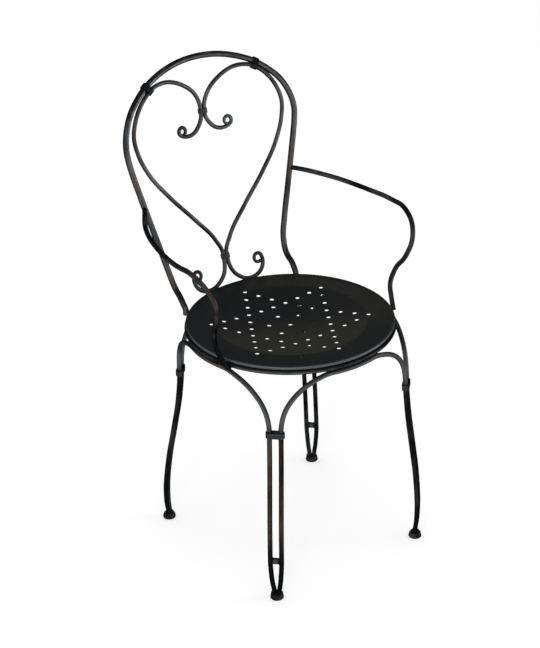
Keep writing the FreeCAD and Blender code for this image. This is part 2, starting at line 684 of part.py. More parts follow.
def arm_points():
    """The right arm: forward from the hoop, over its front bend, and by an S-bend down to the ring."""
    z = size["arm_root_height"]
    root = on_back(hoop_flank(z), z)
    wide = size["pan_radius"] + size["arm_spread"]
    level = size["arm_height"]
    front = size["arm_front"]
    reach = ring_radius + size["ring_rod"] + size["arm_rod"] + size["gap"]
    foot = around(reach, size["arm_foot_angle"], ring_height)
    drop = level - ring_height
    above = on_back(hoop_flank(z + ROOT_SPAN), z + ROOT_SPAN)
    below = on_back(hoop_flank(z - ROOT_SPAN), z - ROOT_SPAN)
    rise = (above - below).normalize()
    heading = (ARM_LEAVES - rise * ARM_LEAVES.dot(rise)).normalize()
    points = [root + heading * (size["hoop_rod"] + size["gap"])]
    points += [spot(wide - inward, back, level + up) for inward, back, up in ARM_TOP]
    points += [spot(wide - inward, -share * front, level - down) for inward, share, down in ARM_FRONT]
    points += [spot(wide - inward, -share * front, level - fall * drop) for inward, share, fall in ARM_FALL]
    points += [V(foot.x + out, foot.y + back, level - fall * drop) for out, back, fall in ARM_FOOT]
    points.append(V(foot.x, foot.y, ring_height - size["arm_foot_tail"]))
    return points, heading


def arms():
    points, heading = arm_points()
    bar("arm_right", "arm_rod", points, start=heading)
    bar("arm_left", "arm_rod", mirrored(points), start=V(-heading.x, heading.y, heading.z))


def leg_reach(which, z):
    """Distance of a leg from the seat's axis at a height: a smooth line through four stations."""
    stations = [
        (size["foot_height"], size[which + "_reach_foot"]),
        (size["knee_height"], size[which + "_reach_knee"]),
        (size["leg_middle"], size[which + "_reach_mid"]),
        (size["leg_collar_height"], size[which + "_reach_top"]),
    ]
    total = ring_radius
    for i, (zi, ri) in enumerate(stations):
        weight = 1.0
        for j, (zj, rj) in enumerate(stations):
            if i != j:
                weight *= (z - zj) / (zi - zj)
        total += ri * weight
    return total


# How quickly a leg's bars close on each other below the short bar
TOE_POWER = 1.6


def leg_half_gap(z):
    """Half the distance between a leg's bars: even down to the short bar, then closing to the foot."""
    tip = size["leg_rod"] + size["gap"] / 2
    share = (z - size["foot_height"]) / (size["bridge_height"] - size["foot_height"])
    share = min(max(share, 0.0), 1.0)
    return tip + (size["leg_spacing"] / 2 - tip) * (1 - (1 - share) ** TOE_POWER)


def leg_point(which, angle, z, side):
    return around(leg_reach(which, z), angle, z, side * leg_half_gap(z))


# Heights of an arch's points between the short bar and the collar, as shares of that stretch
LEG_STATIONS = (0.247, 0.502, 0.768)
TOE_HEIGHT = 40.0
# The bend between leg and ring: the angles of its points, and the power of its rounded corner
BEND_TURNS = (62, 42, 22)
BEND_POWER = 2 / 2.05
LEG_SPAN = 24.0


def arch_half(which, angle, side, middle):
    """Half an arch: up one bar of a leg, over the bend, to where it meets the ring."""
    low = size["bridge_height"]
    collar = size["leg_collar_height"]
    top = collar + size["arch_spring"]
    heights = [size["foot_height"] + size["gap"], TOE_HEIGHT, size["knee_height"], low]
    heights += [low + share * (collar - low) for share in LEG_STATIONS]
    heights += [collar, top]
    points = [leg_point(which, angle, z, side) for z in heights]
    spring = points[-1]
    crown_z = ring_height - size["ring_rod"] - size["leg_rod"] - size["gap"]
    land = around(ring_radius, middle - side * size["crown_angle"], crown_z)
    outward = V(math.cos(math.radians(middle)), math.sin(math.radians(middle)), 0)
    for turn in BEND_TURNS:
        a = math.radians(turn)
        along = math.sin(a) ** BEND_POWER
        drop = 1 - math.cos(a) ** BEND_POWER
        plan = land + V(spring.x - land.x, spring.y - land.y, 0) * along
        bow = outward * (size["arch_bow"] * math.sin(math.pi * along))
        points.append(V(plan.x + bow.x, plan.y + bow.y, crown_z - (crown_z - top) * drop))
    points.append(land)
    straight = leg_point(which, angle, low + LEG_SPAN, side) - leg_point(which, angle, low, side)
    fixed = {heights.index(low): straight.normalize()}
    if side > 0:
        fixed[len(points) - 1] = tangent_of_ring(middle - size["crown_angle"])
    return points, fixed


def tangent_of_ring(angle):
    a = math.radians(angle)
    return V(-math.sin(a), math.cos(a), 0)


LEGS = {
    "front_left": ("front", 180 + size["front_leg_angle"]),
    "front_right": ("front", 360 - size["front_leg_angle"]),
    "back_right": ("rear", 360 + size["rear_leg_angle"]),
    "back_left": ("rear", 540 - size["rear_leg_angle"]),
}
ARCHES = {"front": ("front_left", "front_right"), "right": ("front_right", "back_right"),
          "back": ("back_right", "back_left"), "left": ("back_left", "front_left")}


def leg_arches():
    """Four long bars, each up one leg, along the ring and down the next leg."""
    for name, (first, second) in ARCHES.items():
        kind_a, angle_a = LEGS[first]
        kind_b, angle_b = LEGS[second]
        if angle_b < angle_a:
            angle_b += 360
        middle = (angle_a + angle_b) / 2
        rise, fixed = arch_half(kind_a, angle_a, 1, middle)
        fall, falling = arch_half(kind_b, angle_b, -1, middle)
        points = rise + fall[::-1]
        for index, direction in falling.items():
            fixed[len(points) - 1 - index] = direction * -1
        fixed[len(rise)] = tangent_of_ring(middle + size["crown_angle"])
        bar("leg_arch_" + name, "leg_rod", points, start=V(0, 0, 1), end=V(0, 0, -1), fixed=fixed)


def leg_fittings():
    """A collar and a short bar on each leg, and its foot."""
    for name, (kind, angle) in LEGS.items():
        a = math.radians(angle)
        across = V(-math.sin(a), math.cos(a), 0)
        z = size["leg_collar_height"]
        rising = leg_point(kind, angle, z + ROOT_SPAN, -1) - leg_point(kind, angle, z - ROOT_SPAN, -1)
        band("leg_collar_" + name, "leg_rod", "leg_rod", "leg_spacing", "band_wall", "band_length",
             facing(leg_point(kind, angle, z, -1), rising, across))
        z = size["bridge_height"]
        rising = leg_point(kind, angle, z + ROOT_SPAN, -1) - leg_point(kind, angle, z, -1)
        bridge("leg_bridge_" + name, facing(around(leg_reach(kind, z), angle, z), rising, across))
        foot("foot_" + name, around(leg_reach(kind, size["foot_height"]), angle, 0))


def bridge(label, placement):
    """A short flat bar whose hollowed ends sit against a leg's two bars."""
    body, outline = new_body(label)
    centre = size["leg_spacing"] / 2
    hollow = size["leg_rod"] + size["gap"]
    half = size["leg_rod"] * size["bridge_share"]
    reach = centre - math.sqrt(hollow ** 2 - half ** 2)
    bend = math.asin(half / hollow)
    right = Part.ArcOfCircle(Part.Circle(V(centre, 0, 0), UP, hollow), math.pi - bend, math.pi + bend)
    left = Part.ArcOfCircle(Part.Circle(V(-centre, 0, 0), UP, hollow), -bend, bend)
    outline.addGeometry(Part.LineSegment(V(-reach, half, 0), V(reach, half, 0)), False)
    outline.addGeometry(right, False)
    outline.addGeometry(Part.LineSegment(V(reach, -half, 0), V(-reach, -half, 0)), False)
    outline.addGeometry(left, False)
    for a, pa, b, pb in ((0, 2, 1, 1), (1, 2, 2, 1), (2, 2, 3, 1), (3, 2, 0, 1)):
        outline.addConstraint(Sketcher.Constraint("Coincident", a, pa, b, pb))
    outline.addConstraint(Sketcher.Constraint("Horizontal", 0))
    outline.addConstraint(Sketcher.Constraint("Horizontal", 2))
    outline.addConstraint(Sketcher.Constraint("PointOnObject", 1, 3, -1))
    outline.addConstraint(Sketcher.Constraint("PointOnObject", 3, 3, -1))
    bind(outline, Sketcher.Constraint("DistanceX", -1, 1, 1, 3, centre), "Sizes.leg_spacing / 2")
    bind(outline, Sketcher.Constraint("DistanceX", 3, 3, -1, 1, centre), "Sizes.leg_spacing / 2")
    bind(outline, Sketcher.Constraint("Radius", 1, hollow), "Sizes.leg_rod + Sizes.gap")
    bind(outline, Sketcher.Constraint("Radius", 3, hollow), "Sizes.leg_rod + Sizes.gap")
    bind(outline, Sketcher.Constraint("DistanceY", -1, 1, 0, 1, half), "Sizes.leg_rod * Sizes.bridge_share")
    bind(outline, Sketcher.Constraint("DistanceY", 2, 2, -1, 1, half), "Sizes.leg_rod * Sizes.bridge_share")
    doc.recompute()
    pad = body.newObject("PartDesign::Pad", label + "_bar")
    pad.Profile = outline
    pad.setExpression("Length", "Sizes.bridge_thick")
    pad.Midplane = True
    body.Tip = pad
    body.Placement = placement
    doc.recompute()


def foot(label, place):
    """A turned pad: flat underneath, round at its lower edge, domed up to the bars' ends."""
    body, outline = new_body(label, "XZ_Plane")
    wide = size["foot_radius"]
    tall = size["foot_height"]
    edge = size["foot_edge"]
    neck = size["foot_neck"]
    rise = tall - edge
    dome = (rise ** 2 + (wide - neck) ** 2) / (2 * (wide - neck))
    sweep = math.asin(rise / dome)
    lower = Part.ArcOfCircle(Part.Circle(V(wide - edge, edge, 0), UP, edge), -math.pi / 2, 0)
    upper = Part.ArcOfCircle(Part.Circle(V(wide - dome, edge, 0), UP, dome), 0, sweep)
    outline.addGeometry(Part.LineSegment(V(0, 0, 0), V(wide - edge, 0, 0)), False)
    outline.addGeometry(lower, False)
    outline.addGeometry(upper, False)
    outline.addGeometry(Part.LineSegment(V(neck, tall, 0), V(0, tall, 0)), False)
    outline.addGeometry(Part.LineSegment(V(0, tall, 0), V(0, 0, 0)), False)
    outline.addConstraint(Sketcher.Constraint("Tangent", 0, 2, 1, 1))
    outline.addConstraint(Sketcher.Constraint("Tangent", 1, 2, 2, 1))
    for a, pa, b, pb in ((2, 2, 3, 1), (3, 2, 4, 1), (4, 2, 0, 1)):
        outline.addConstraint(Sketcher.Constraint("Coincident", a, pa, b, pb))
    outline.addConstraint(Sketcher.Constraint("Coincident", 0, 1, -1, 1))
    outline.addConstraint(Sketcher.Constraint("Horizontal", 0))
    outline.addConstraint(Sketcher.Constraint("Horizontal", 3))
    outline.addConstraint(Sketcher.Constraint("Vertical", 4))
    bind(outline, Sketcher.Constraint("Radius", 1, edge), "Sizes.foot_edge")
    bind(outline, Sketcher.Constraint("DistanceX", -1, 1, 1, 2, wide), "Sizes.foot_radius")
    bind(outline, Sketcher.Constraint("DistanceY", -1, 1, 1, 2, edge), "Sizes.foot_edge")
    bind(outline, Sketcher.Constraint("DistanceX", -1, 1, 2, 2, neck), "Sizes.foot_neck")
    bind(outline, Sketcher.Constraint("DistanceY", -1, 1, 2, 2, tall), "Sizes.foot_height")
    doc.recompute()
    turned = body.newObject("PartDesign::Revolution", label + "_turning")
    turned.Profile = outline
    turned.ReferenceAxis = (outline, ["V_Axis"])
    turned.Angle = 360
    body.Tip = turned
    body.Placement = FreeCAD.Placement(place, FreeCAD.Rotation())
    doc.recompute()
    if body.Shape.Volume < 0.85 * math.pi * wide ** 2 * tall:
        raise ValueError(label + " is thinner than its outline")


def check_document():
    """Stop if any object of the document failed, or any sub-part is empty or broken."""
    for item in doc.Objects:
        for state in item.State:
            if state in ("Invalid", "Error"):
                raise ValueError("%s is %s" % (item.Name, state))
    for item in subparts:
        if item.Shape.isNull() or not item.Shape.isValid():
            raise ValueError(item.Label + " has no sound shape")


seat_pan()
seat_ring()
back_hoop()
heart_bars()
back_bands()
arms()
leg_arches()
leg_fittings()
doc.recompute()
check_document()

os.makedirs("parts", exist_ok=True)
for item in subparts:
    item.Shape.exportStep("parts/%s.step" % item.Label)
    print(item.Label, len(item.Shape.Solids), round(item.Shape.Volume, 1))
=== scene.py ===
import math

import bpy
import numpy as np
from mathutils import Matrix, Vector, geometry


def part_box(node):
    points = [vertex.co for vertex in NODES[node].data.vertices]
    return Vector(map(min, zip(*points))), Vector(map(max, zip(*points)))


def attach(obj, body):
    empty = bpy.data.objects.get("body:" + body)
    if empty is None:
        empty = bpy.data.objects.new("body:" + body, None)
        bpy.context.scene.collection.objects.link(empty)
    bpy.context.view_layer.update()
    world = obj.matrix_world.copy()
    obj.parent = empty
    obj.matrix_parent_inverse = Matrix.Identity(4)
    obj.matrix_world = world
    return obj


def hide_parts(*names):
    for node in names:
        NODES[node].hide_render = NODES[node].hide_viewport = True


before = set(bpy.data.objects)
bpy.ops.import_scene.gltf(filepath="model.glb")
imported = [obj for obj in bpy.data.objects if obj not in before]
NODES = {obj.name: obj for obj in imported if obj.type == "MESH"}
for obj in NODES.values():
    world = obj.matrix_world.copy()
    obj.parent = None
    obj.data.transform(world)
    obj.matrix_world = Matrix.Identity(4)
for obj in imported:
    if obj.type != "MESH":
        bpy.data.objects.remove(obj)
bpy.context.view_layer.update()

bl_info = {
    "name": "Garden armchair",
    "version": (1, 0, 0),
    "blender": (4, 5, 0),
    "location": "3D View > Sidebar > Armchair",
    "description": "Scrolls, pressed seat, welds and paint for a garden armchair of bent steel bar",
    "category": "Add Mesh",
}

MM = 0.001

# The seat's axis, from the pan in the frame
PAN_LOW, PAN_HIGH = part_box("seat_pan")
SEAT_Y = (PAN_LOW.y + PAN_HIGH.y) / 2

# The photograph's camera: its picture's width and focal length in pixels, its turns in degrees, and where it
# sees the foot of the seat's axis, in millimetres to its right, up and ahead
PHOTO_WIDE = 540
PHOTO_FOCAL_PX = 1697.2
PHOTO_YAW, PHOTO_PITCH, PHOTO_ROLL = -35.08, 26.86, -1.37
PHOTO_OFFSET_MM = (48.68, -409.56, 3447.26)


# Meshes from arrays

def new_object(name, data):
    """An object of the scene, from its data."""
    made = bpy.data.objects.new(name, data)
    bpy.context.scene.collection.objects.link(made)
    return made


def make_piece(name, points, faces, material):
    """A mesh object that rides on the chair, from an array of points and a list of faces."""
    mesh = bpy.data.meshes.new(name)
    mesh.from_pydata(points.tolist(), [], faces)
    mesh.validate()
    mesh.polygons.foreach_set("use_smooth", np.ones(len(mesh.polygons), bool))
    mesh.materials.append(material)
    piece = new_object(name, mesh)
    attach(piece, "root")
    return piece


def unit(v):
    """Vectors over their own lengths."""
    return v / np.maximum(np.linalg.norm(v, axis=-1, keepdims=True), 1e-12)


def smooth_step(t):
    """Three times the square less twice the cube, from 0 to 1."""
    t = np.clip(t, 0.0, 1.0)
    return t * t * (3 - 2 * t)


def circle(count):
    """Cosine and sine of evenly spaced turns: points of a circle of radius 1."""
    turn = np.arange(count) * 2 * np.pi / count
    return np.stack([np.cos(turn), np.sin(turn)], 1)


def ring_faces(rings, count, closed=False):
    """Quads between rings of count points numbered ring by ring, the last joined to the first if closed."""
    ring = np.arange(rings if closed else rings - 1)
    ring, spot = (a.ravel() for a in np.meshgrid(ring, np.arange(count), indexing="ij"))
    after, beside = (ring + 1) % rings, (spot + 1) % count
    return np.stack([ring * count + spot, ring * count + beside, after * count + beside,
                     after * count + spot], 1)


# Least cosine of a span's turn that its speed still follows
SHARPEST_TURN = -0.6


def curve_through(knots, steps, headings):
    """A smooth line through knots, in cubic spans. The direction at a knot is that of the circle through it
    and its neighbours, or the heading given by its number, and at the line's two ends it mirrors the span's
    other end. The speed is the chord over the squared cosine of a quarter of the span's turn."""
    spots = np.concatenate([[2 * knots[0] - knots[1]], knots, [2 * knots[-1] - knots[-2]]])
    chord = np.diff(spots, axis=0)
    length = np.linalg.norm(chord, axis=1, keepdims=True)
    heading = unit(chord[:-1] * (length[1:] / length[:-1]) + chord[1:] * (length[:-1] / length[1:]))
    for index, direction in headings.items():
        heading[index] = unit(direction)
    leave, arrive = heading[:-1].copy(), heading[1:].copy()
    ahead = unit(chord[1:-1])
    leave[0] = unit(2 * ahead[0] * (arrive[0] @ ahead[0]) - arrive[0])
    arrive[-1] = unit(2 * ahead[-1] * (leave[-1] @ ahead[-1]) - leave[-1])
    turn = np.clip(np.sum(leave * arrive, axis=1, keepdims=True), SHARPEST_TURN, 1)
    speed = length[1:-1] * 2 / (1 + np.sqrt((1 + turn) / 2))
    s = np.linspace(0, 1, steps, endpoint=False)[None, :, None]
    line = (knots[:-1, None] * (2 * s ** 3 - 3 * s ** 2 + 1)
            + (leave * speed)[:, None] * (s ** 3 - 2 * s ** 2 + s)
            + knots[1:, None] * (3 * s ** 2 - 2 * s ** 3)
            + (arrive * speed)[:, None] * (s ** 3 - s ** 2))
    return np.concatenate([line.reshape(-1, 3), knots[-1:]])


def even(line, spacing, closed=False):
    """The same line with evenly spaced points, and how far along it each of them lies."""
    ends = np.concatenate([line, line[:1]]) if closed else line
    s = np.concatenate([[0], np.cumsum(np.linalg.norm(np.diff(ends, axis=0), axis=1))])
    count = max(int(round(s[-1] / spacing)), 3)
    at = np.linspace(0, s[-1], count + 1)
    if closed:
        at = at[:-1]
    return np.stack([np.interp(at, s, ends[:, k]) for k in range(3)], 1), at


def round_bar(line, radius, count, up, closed=False):
    """A circle carried along a line: each ring is the line's point plus the radius there times the circle's
    cosine and sine along two directions square to the line, the first of them nearest to up."""
    if closed:
        forward = unit(np.roll(line, -1, 0) - np.roll(line, 1, 0))
    else:
        forward = unit(np.gradient(line, axis=0))
    out = unit(up - forward * np.sum(up * forward, axis=1, keepdims=True))
    side = np.cross(forward, out)
    section = radius[:, None, None] * circle(count)[None]
    rings = line[:, None] + section[..., :1] * out[:, None] + section[..., 1:] * side[:, None]
    points, faces = rings.reshape(-1, 3), ring_faces(len(line), count, closed).tolist()
    return (points, faces) if closed else closed_ends(points, faces, count)


def closed_ends(points, faces, count):
    """Close both ends of a carried circle with a fan to the middle of its end ring."""
    ends = np.stack([points[:count].mean(0), points[-count:].mean(0)])
    ring = np.arange(count)
    after = (ring + 1) % count
    tail = len(points) - count
    first = np.stack([after, ring, np.full(count, len(points))], 1)
    last = np.stack([tail + ring, tail + after, np.full(count, len(points) + 1)], 1)
    return np.concatenate([points, ends]), faces + first.tolist() + last.tolist()


# The chair's forms, in millimetres from the seat's axis and the floor, and in degrees

GAP = 0.3

# The pan: radius and top of its rolled edge, the edge's own radius and the sheet's thickness, how far the
# border lies under the top, and the dish, the star's step and its holes
PAN_RADIUS, PAN_HEIGHT, EDGE_RADIUS, SHEET = 200.0, 472.5, 3.5, 1.5
BORDER_STEP, DISH_RADIUS, DISH_DEPTH = 2.0, 147.0, 11.5
STAR_PITCH, HOLE_RADIUS = 29.0, 4.0
EDGE_HEIGHT = PAN_HEIGHT - EDGE_RADIUS
EDGE_RING = PAN_RADIUS - EDGE_RADIUS

# Radius of each bar, and the ring's line under the rolled edge
RING_ROD, HOOP_ROD, HEART_ROD, ARM_ROD, LEG_ROD = 4.3, 5.9, 4.2, 4.8, 4.75
RING_RADIUS = 198.0
RING_HEIGHT = EDGE_HEIGHT - math.sqrt((EDGE_RADIUS + RING_ROD + GAP) ** 2 - (RING_RADIUS - EDGE_RING) ** 2)

# The hoop: half its greatest width and the height of that, its top, how much its shoulders are rounded, how
# far outside and above its feet its straight flare begins, and the feet's angle
HOOP_HALF_WIDTH, HOOP_WIDE_HEIGHT, HOOP_TOP, HOOP_SHOULDER = 194.5, 783.0, 916.0, 6.9
HOOP_SPREAD, HOOP_STRAIGHT, HOOP_FOOT_ANGLE = 12.63, 105.0, 50.5

# The surface of the back: how far behind the axis it stands, its lean, how deep it wraps round the sitter low
# down and high up, how far inside the hoop that ends, and where and over what height it deepens
BACK_SET, BACK_LEAN, WRAP_LOW, WRAP_HIGH, WRAP_INSET = 194.3, 9.43, 13.7, 26.7, 9.5
WRAP_START, WRAP_BLEND = 103.0, 110.0

# The heart: half its width, its top, how far its lobes stand forward, its rest on the rolled edge, from the
# middle and above the edge's own middle, the heights at which its halves touch, and its ties
HEART_HALF_WIDTH, HEART_TOP, HEART_FRONT, HEART_REST, REST_LIFT = 171.0, 885.5, 6.0, 38.0, 1.5
UPPER_TOUCH, LOWER_TOUCH, TIE_LENGTH, TIE_SPAN = 811.0, 525.0, 9.0, 3.0
REST_HEIGHT = EDGE_HEIGHT + REST_LIFT
# How far below the upper contact and above the lower one it starts to leave the back's surface, and over what
# height it does so
LEAVE_UPPER, LEAVE_LOWER, LEAVE_BLEND = 5.0, 15.0, 70.0
# Its side between the contacts, as shares of its half width and of its height above the lower contact
HEART_FLANK = ((0.102, 0.101), (0.348, 0.247), (0.640, 0.406), (0.860, 0.549), (0.975, 0.677),
               (1.0, 0.765), (0.936, 0.863))
HEART_LOBE = ((0.509, 1.0), (0.234, 0.957), (0.082, 0.890))
# Its foot, from the middle and above the rest, and its upper end, from the middle and above the contact
HEART_FOOT = ((75.5, 9.5), (62.0, 0.5), (49.5, -1.5), (HEART_REST, 0.0), (26.0, 6.5), (13.0, 18.5))
HEART_CURL = ((13.5, -27.0), (26.0, -37.5), (40.0, -40.5))
# The eyes of its scrolls: their places in the same way, their radius, and the angles they are bent through
LOWER_EYE_PLACE, LOWER_EYE, LOWER_EYE_TURN = (72.5, 33.0), 9.2, (0, 318)
UPPER_EYE_PLACE, UPPER_EYE, UPPER_EYE_TURN = (52.7, -28.6), 8.4, (-75, 250)
EYE_STEPS, EYE_CLOSING = 8, 0.14
# The collar: its angle on the hoop's top, the angle either side that gives its heading, and the heart's side
COLLAR_TURN, COLLAR_SPAN, COLLAR_SIDE = 49.8, 4, (-0.4, -0.6, -0.7)

# The arms: angle of the foot on the ring, height of the root on the hoop, and how an arm leaves it
ARM_FOOT_ANGLE, ARM_ROOT_HEIGHT, ROOT_SPAN = -20.7, 667.0, 5.0
ARM_LEAVES = (0.515, -0.848, -0.106)

# The legs: angle round the seat and whether it is a front one, then the bars' spacing, short bar and foot
LEGS = ((226.1, True), (313.9, True), (45.0, False), (135.0, False))
LEG_SPACING, BRIDGE_HEIGHT, BRIDGE_THICK, BRIDGE_SHARE, FOOT_HEIGHT = 21.5, 86.0, 11.0, 0.6, 11.0
# Heights of a leg's foot, knee, middle and collar, and how far outside the ring's line they stand
LEG_STATIONS = (FOOT_HEIGHT, 68.0, 216.0, 345.0)
FRONT_REACH, REAR_REACH = (48.0, 51.9, 38.9, 25.4), (60.5, 62.5, 39.5, 21.5)


def placed(points_mm):
    """Points in millimetres from the seat's axis, as points of the frame in metres."""
    return points_mm * MM + np.array([0.0, SEAT_Y, 0.0])


def around(radius, angle, z, side=0.0):
    """Points at a distance and angle round the seat's axis, shifted sideways along the ring."""
    radius, angle, z, side = np.broadcast_arrays(radius, np.radians(angle), z, side)
    return np.stack([radius * np.cos(angle) - side * np.sin(angle),
                     radius * np.sin(angle) + side * np.cos(angle), z], -1)


def back_y(x, z):
    """The leaning surface of the back: a straight lean plus a wrap round the sitter, deeper at the top."""
    deeper = smooth_step((z - HOOP_WIDE_HEIGHT + WRAP_START) / WRAP_BLEND)
    wrap = WRAP_LOW + (WRAP_HIGH - WRAP_LOW) * deeper
    lean = math.tan(math.radians(BACK_LEAN)) * (z - EDGE_HEIGHT)
    return BACK_SET + lean + wrap * (1 - (x / (HOOP_HALF_WIDTH - WRAP_INSET)) ** 2)


def on_back(x, z, forward=0.0):
    """Points of the back's surface, moved forward of it."""
    x, z = np.broadcast_arrays(np.asarray(x, float), np.asarray(z, float))
    return np.stack([x, back_y(x, z) - forward, z], -1)


def hoop_flank(z):
    """Half the hoop's width: a straight flare that rounds over into a shoulder at its greatest width."""
    low = RING_HEIGHT + HOOP_STRAIGHT
    foot = (RING_RADIUS + RING_ROD + HOOP_ROD + GAP) * math.cos(math.radians(HOOP_FOOT_ANGLE))
    widest = HOOP_HALF_WIDTH + HOOP_SHOULDER
    flare = math.sqrt((widest - foot - HOOP_SPREAD) ** 2 - HOOP_SHOULDER ** 2) / (HOOP_WIDE_HEIGHT - low)
    return widest - np.hypot(flare * (HOOP_WIDE_HEIGHT - z), HOOP_SHOULDER)


def hoop_top_point(turn):
    """A point of the hoop's elliptical top, by its angle from the greatest width."""
    a = np.radians(turn)
    return on_back(HOOP_HALF_WIDTH * np.cos(a), HOOP_WIDE_HEIGHT + (HOOP_TOP - HOOP_WIDE_HEIGHT) * np.sin(a))


# How far the heart's foot stands forward of the back, to touch the pan's edge
REST_RADIUS = EDGE_RING + math.sqrt((EDGE_RADIUS + HEART_ROD + GAP) ** 2 - REST_LIFT ** 2)
REST_SHIFT = back_y(HEART_REST, REST_HEIGHT) - math.sqrt(REST_RADIUS ** 2 - HEART_REST ** 2)


def heart_point(x, z):
    """A point of the heart: on the back's surface, but forward of it at the lobes and at the pan."""
    z = np.asarray(z, float)
    upper = HEART_FRONT * smooth_step((z - UPPER_TOUCH + LEAVE_UPPER) / LEAVE_BLEND)
    lower = REST_SHIFT * smooth_step((LOWER_TOUCH + LEAVE_LOWER - z) / LEAVE_BLEND)
    return on_back(x, z, upper + lower)


def eye(x, z, radius, first, last):
    """Points round a scroll's eye: a circle whose radius shrinks evenly towards its tail."""
    share = np.arange(EYE_STEPS + 1) / EYE_STEPS
    a = np.radians(first + (last - first) * share)
    r = radius * (1 - EYE_CLOSING * share)
    return heart_point(x + r * np.cos(a), z + r * np.sin(a))


def heart_at_collar():
    """Where the heart's bar passes the hoop, beside it, inside and in front, and its direction there."""
    here, ahead, behind = (hoop_top_point(COLLAR_TURN + d) for d in (0, COLLAR_SPAN, -COLLAR_SPAN))
    heading = unit(ahead - behind)
    side = np.array(COLLAR_SIDE)
    across = unit(side - heading * (side @ heading))
    return here + across * (HOOP_ROD + HEART_ROD + GAP), heading


def heart_knots():
    """The right half of the heart, from the tail of its lower scroll to that of its upper one, and its
    headings at the ties and the collar."""
    touch = HEART_ROD + GAP / 2
    straight = TIE_LENGTH / 2 + 1
    tall = HEART_TOP - LOWER_TOUCH
    flank, lobe, foot, curl = (np.array(a) for a in (HEART_FLANK, HEART_LOBE, HEART_FOOT, HEART_CURL))
    collar, collar_heading = heart_at_collar()
    low_x, low_up = LOWER_EYE_PLACE
    high_x, high_up = UPPER_EYE_PLACE
    stretches = [
        eye(low_x, REST_HEIGHT + low_up, LOWER_EYE, *LOWER_EYE_TURN)[::-1],
        heart_point(foot[:, 0], REST_HEIGHT + foot[:, 1]),
        heart_point(touch, [LOWER_TOUCH - straight, LOWER_TOUCH + straight]),
        heart_point(flank[:, 0] * HEART_HALF_WIDTH, LOWER_TOUCH + flank[:, 1] * tall),
        collar[None],
        heart_point(lobe[:, 0] * HEART_HALF_WIDTH, LOWER_TOUCH + lobe[:, 1] * tall),
        heart_point(touch, [UPPER_TOUCH + straight, UPPER_TOUCH - straight]),
        heart_point(curl[:, 0], UPPER_TOUCH + curl[:, 1]),
        eye(high_x, UPPER_TOUCH + high_up, UPPER_EYE, *UPPER_EYE_TURN),
    ]
    starts = np.cumsum([0] + [len(stretch) for stretch in stretches])
    rising = heart_point(touch, LOWER_TOUCH + TIE_SPAN) - heart_point(touch, LOWER_TOUCH - TIE_SPAN)
    falling = heart_point(touch, UPPER_TOUCH - TIE_SPAN) - heart_point(touch, UPPER_TOUCH + TIE_SPAN)
    headings = {starts[2]: rising, starts[2] + 1: rising, starts[4]: collar_heading,
                starts[6]: falling, starts[6] + 1: falling}
    return np.concatenate(stretches), headings


def leg_reach(front, z):
    """A leg's distance from the seat's axis: the cubic of its height through its four stations."""
    reach = RING_RADIUS + np.array(FRONT_REACH if front else REAR_REACH)
    return np.polyval(np.polyfit(np.array(LEG_STATIONS) / 100, reach, 3), z / 100)


# Sizes and colours a user may change

PLAIN_WEAR = 0.35


class ArmchairSizes(bpy.types.PropertyGroup):
    tail_taper: bpy.props.FloatProperty(
        name="Tail taper", description="Share of its thickness that a scroll's tail loses",
        default=0.2, min=0, max=0.8, subtype="FACTOR")
    tail_length: bpy.props.FloatProperty(
        name="Tail length", description="Length over which a scroll's tail thins",
        default=0.075, min=0.005, unit="LENGTH", subtype="DISTANCE")
    hole_lip: bpy.props.FloatProperty(
        name="Hole lip", description="How far the sheet is drawn down at the rim of a punched hole",
        default=0.0006, min=0, unit="LENGTH", subtype="DISTANCE")
    bead: bpy.props.FloatProperty(
        name="Weld bead", description="Radius of a weld's bead",
        default=0.0016, min=0.0003, unit="LENGTH", subtype="DISTANCE")
    ripple: bpy.props.FloatProperty(
        name="Weld ripple", description="Distance from one ripple of a weld to the next",
        default=0.0022, min=0.0005, unit="LENGTH", subtype="DISTANCE")


class ArmchairPaint(bpy.types.PropertyGroup):
    black: bpy.props.FloatVectorProperty(
        name="Black", description="Colour of the sound paint",
        default=(0.0055, 0.0066, 0.0074), min=0, max=1, subtype="COLOR")
    # Slate is also painted as a highlight on the legs' tops and on the outside of the seat's rolled edge
    slate: bpy.props.FloatVectorProperty(
        name="Slate", description="Colour of the sheltered paint's blue-grey shine",
        default=(0.135, 0.147, 0.158), min=0, max=1, subtype="COLOR")
    rust: bpy.props.FloatVectorProperty(
        name="Rust", description="Colour where the paint is worn to brown",
        default=(0.095, 0.062, 0.047), min=0, max=1, subtype="COLOR")
    seat: bpy.props.FloatVectorProperty(
        name="Seat", description="Colour of the seat's paint",
        default=(0.0092, 0.0114, 0.0119), min=0, max=1, subtype="COLOR")
    olive: bpy.props.FloatVectorProperty(
        name="Olive", description="Colour where the seat's paint is rubbed thin",
        default=(0.0285, 0.0285, 0.0215), min=0, max=1, subtype="COLOR")
    wear: bpy.props.FloatProperty(
        name="Wear", description="How much of the bars' paint is worn to brown",
        default=PLAIN_WEAR, min=0, max=1, subtype="FACTOR")


# Shader nodes

def feed(tree, value, socket):
    """Link a socket to another one, or give it a value of its own."""
    if isinstance(value, bpy.types.NodeSocket):
        tree.links.new(value, socket)
    else:
        socket.default_value = value


def new_node(tree, kind, sockets, **settings):
    """A shader node with its settings, its sockets fed by their names or numbers."""
    node = tree.nodes.new("ShaderNode" + kind)
    for label, setting in settings.items():
        setattr(node, label, setting)
    for label, value in sockets.items():
        feed(tree, value, node.inputs[label])
    return node


def maths(tree, operation, *values):
    """A Math node on sockets or numbers."""
    return new_node(tree, "Math", dict(enumerate(values)), operation=operation).outputs[0]


def times(tree, first, second):
    """The product of two sockets or numbers."""
    return maths(tree, "MULTIPLY", first, second)


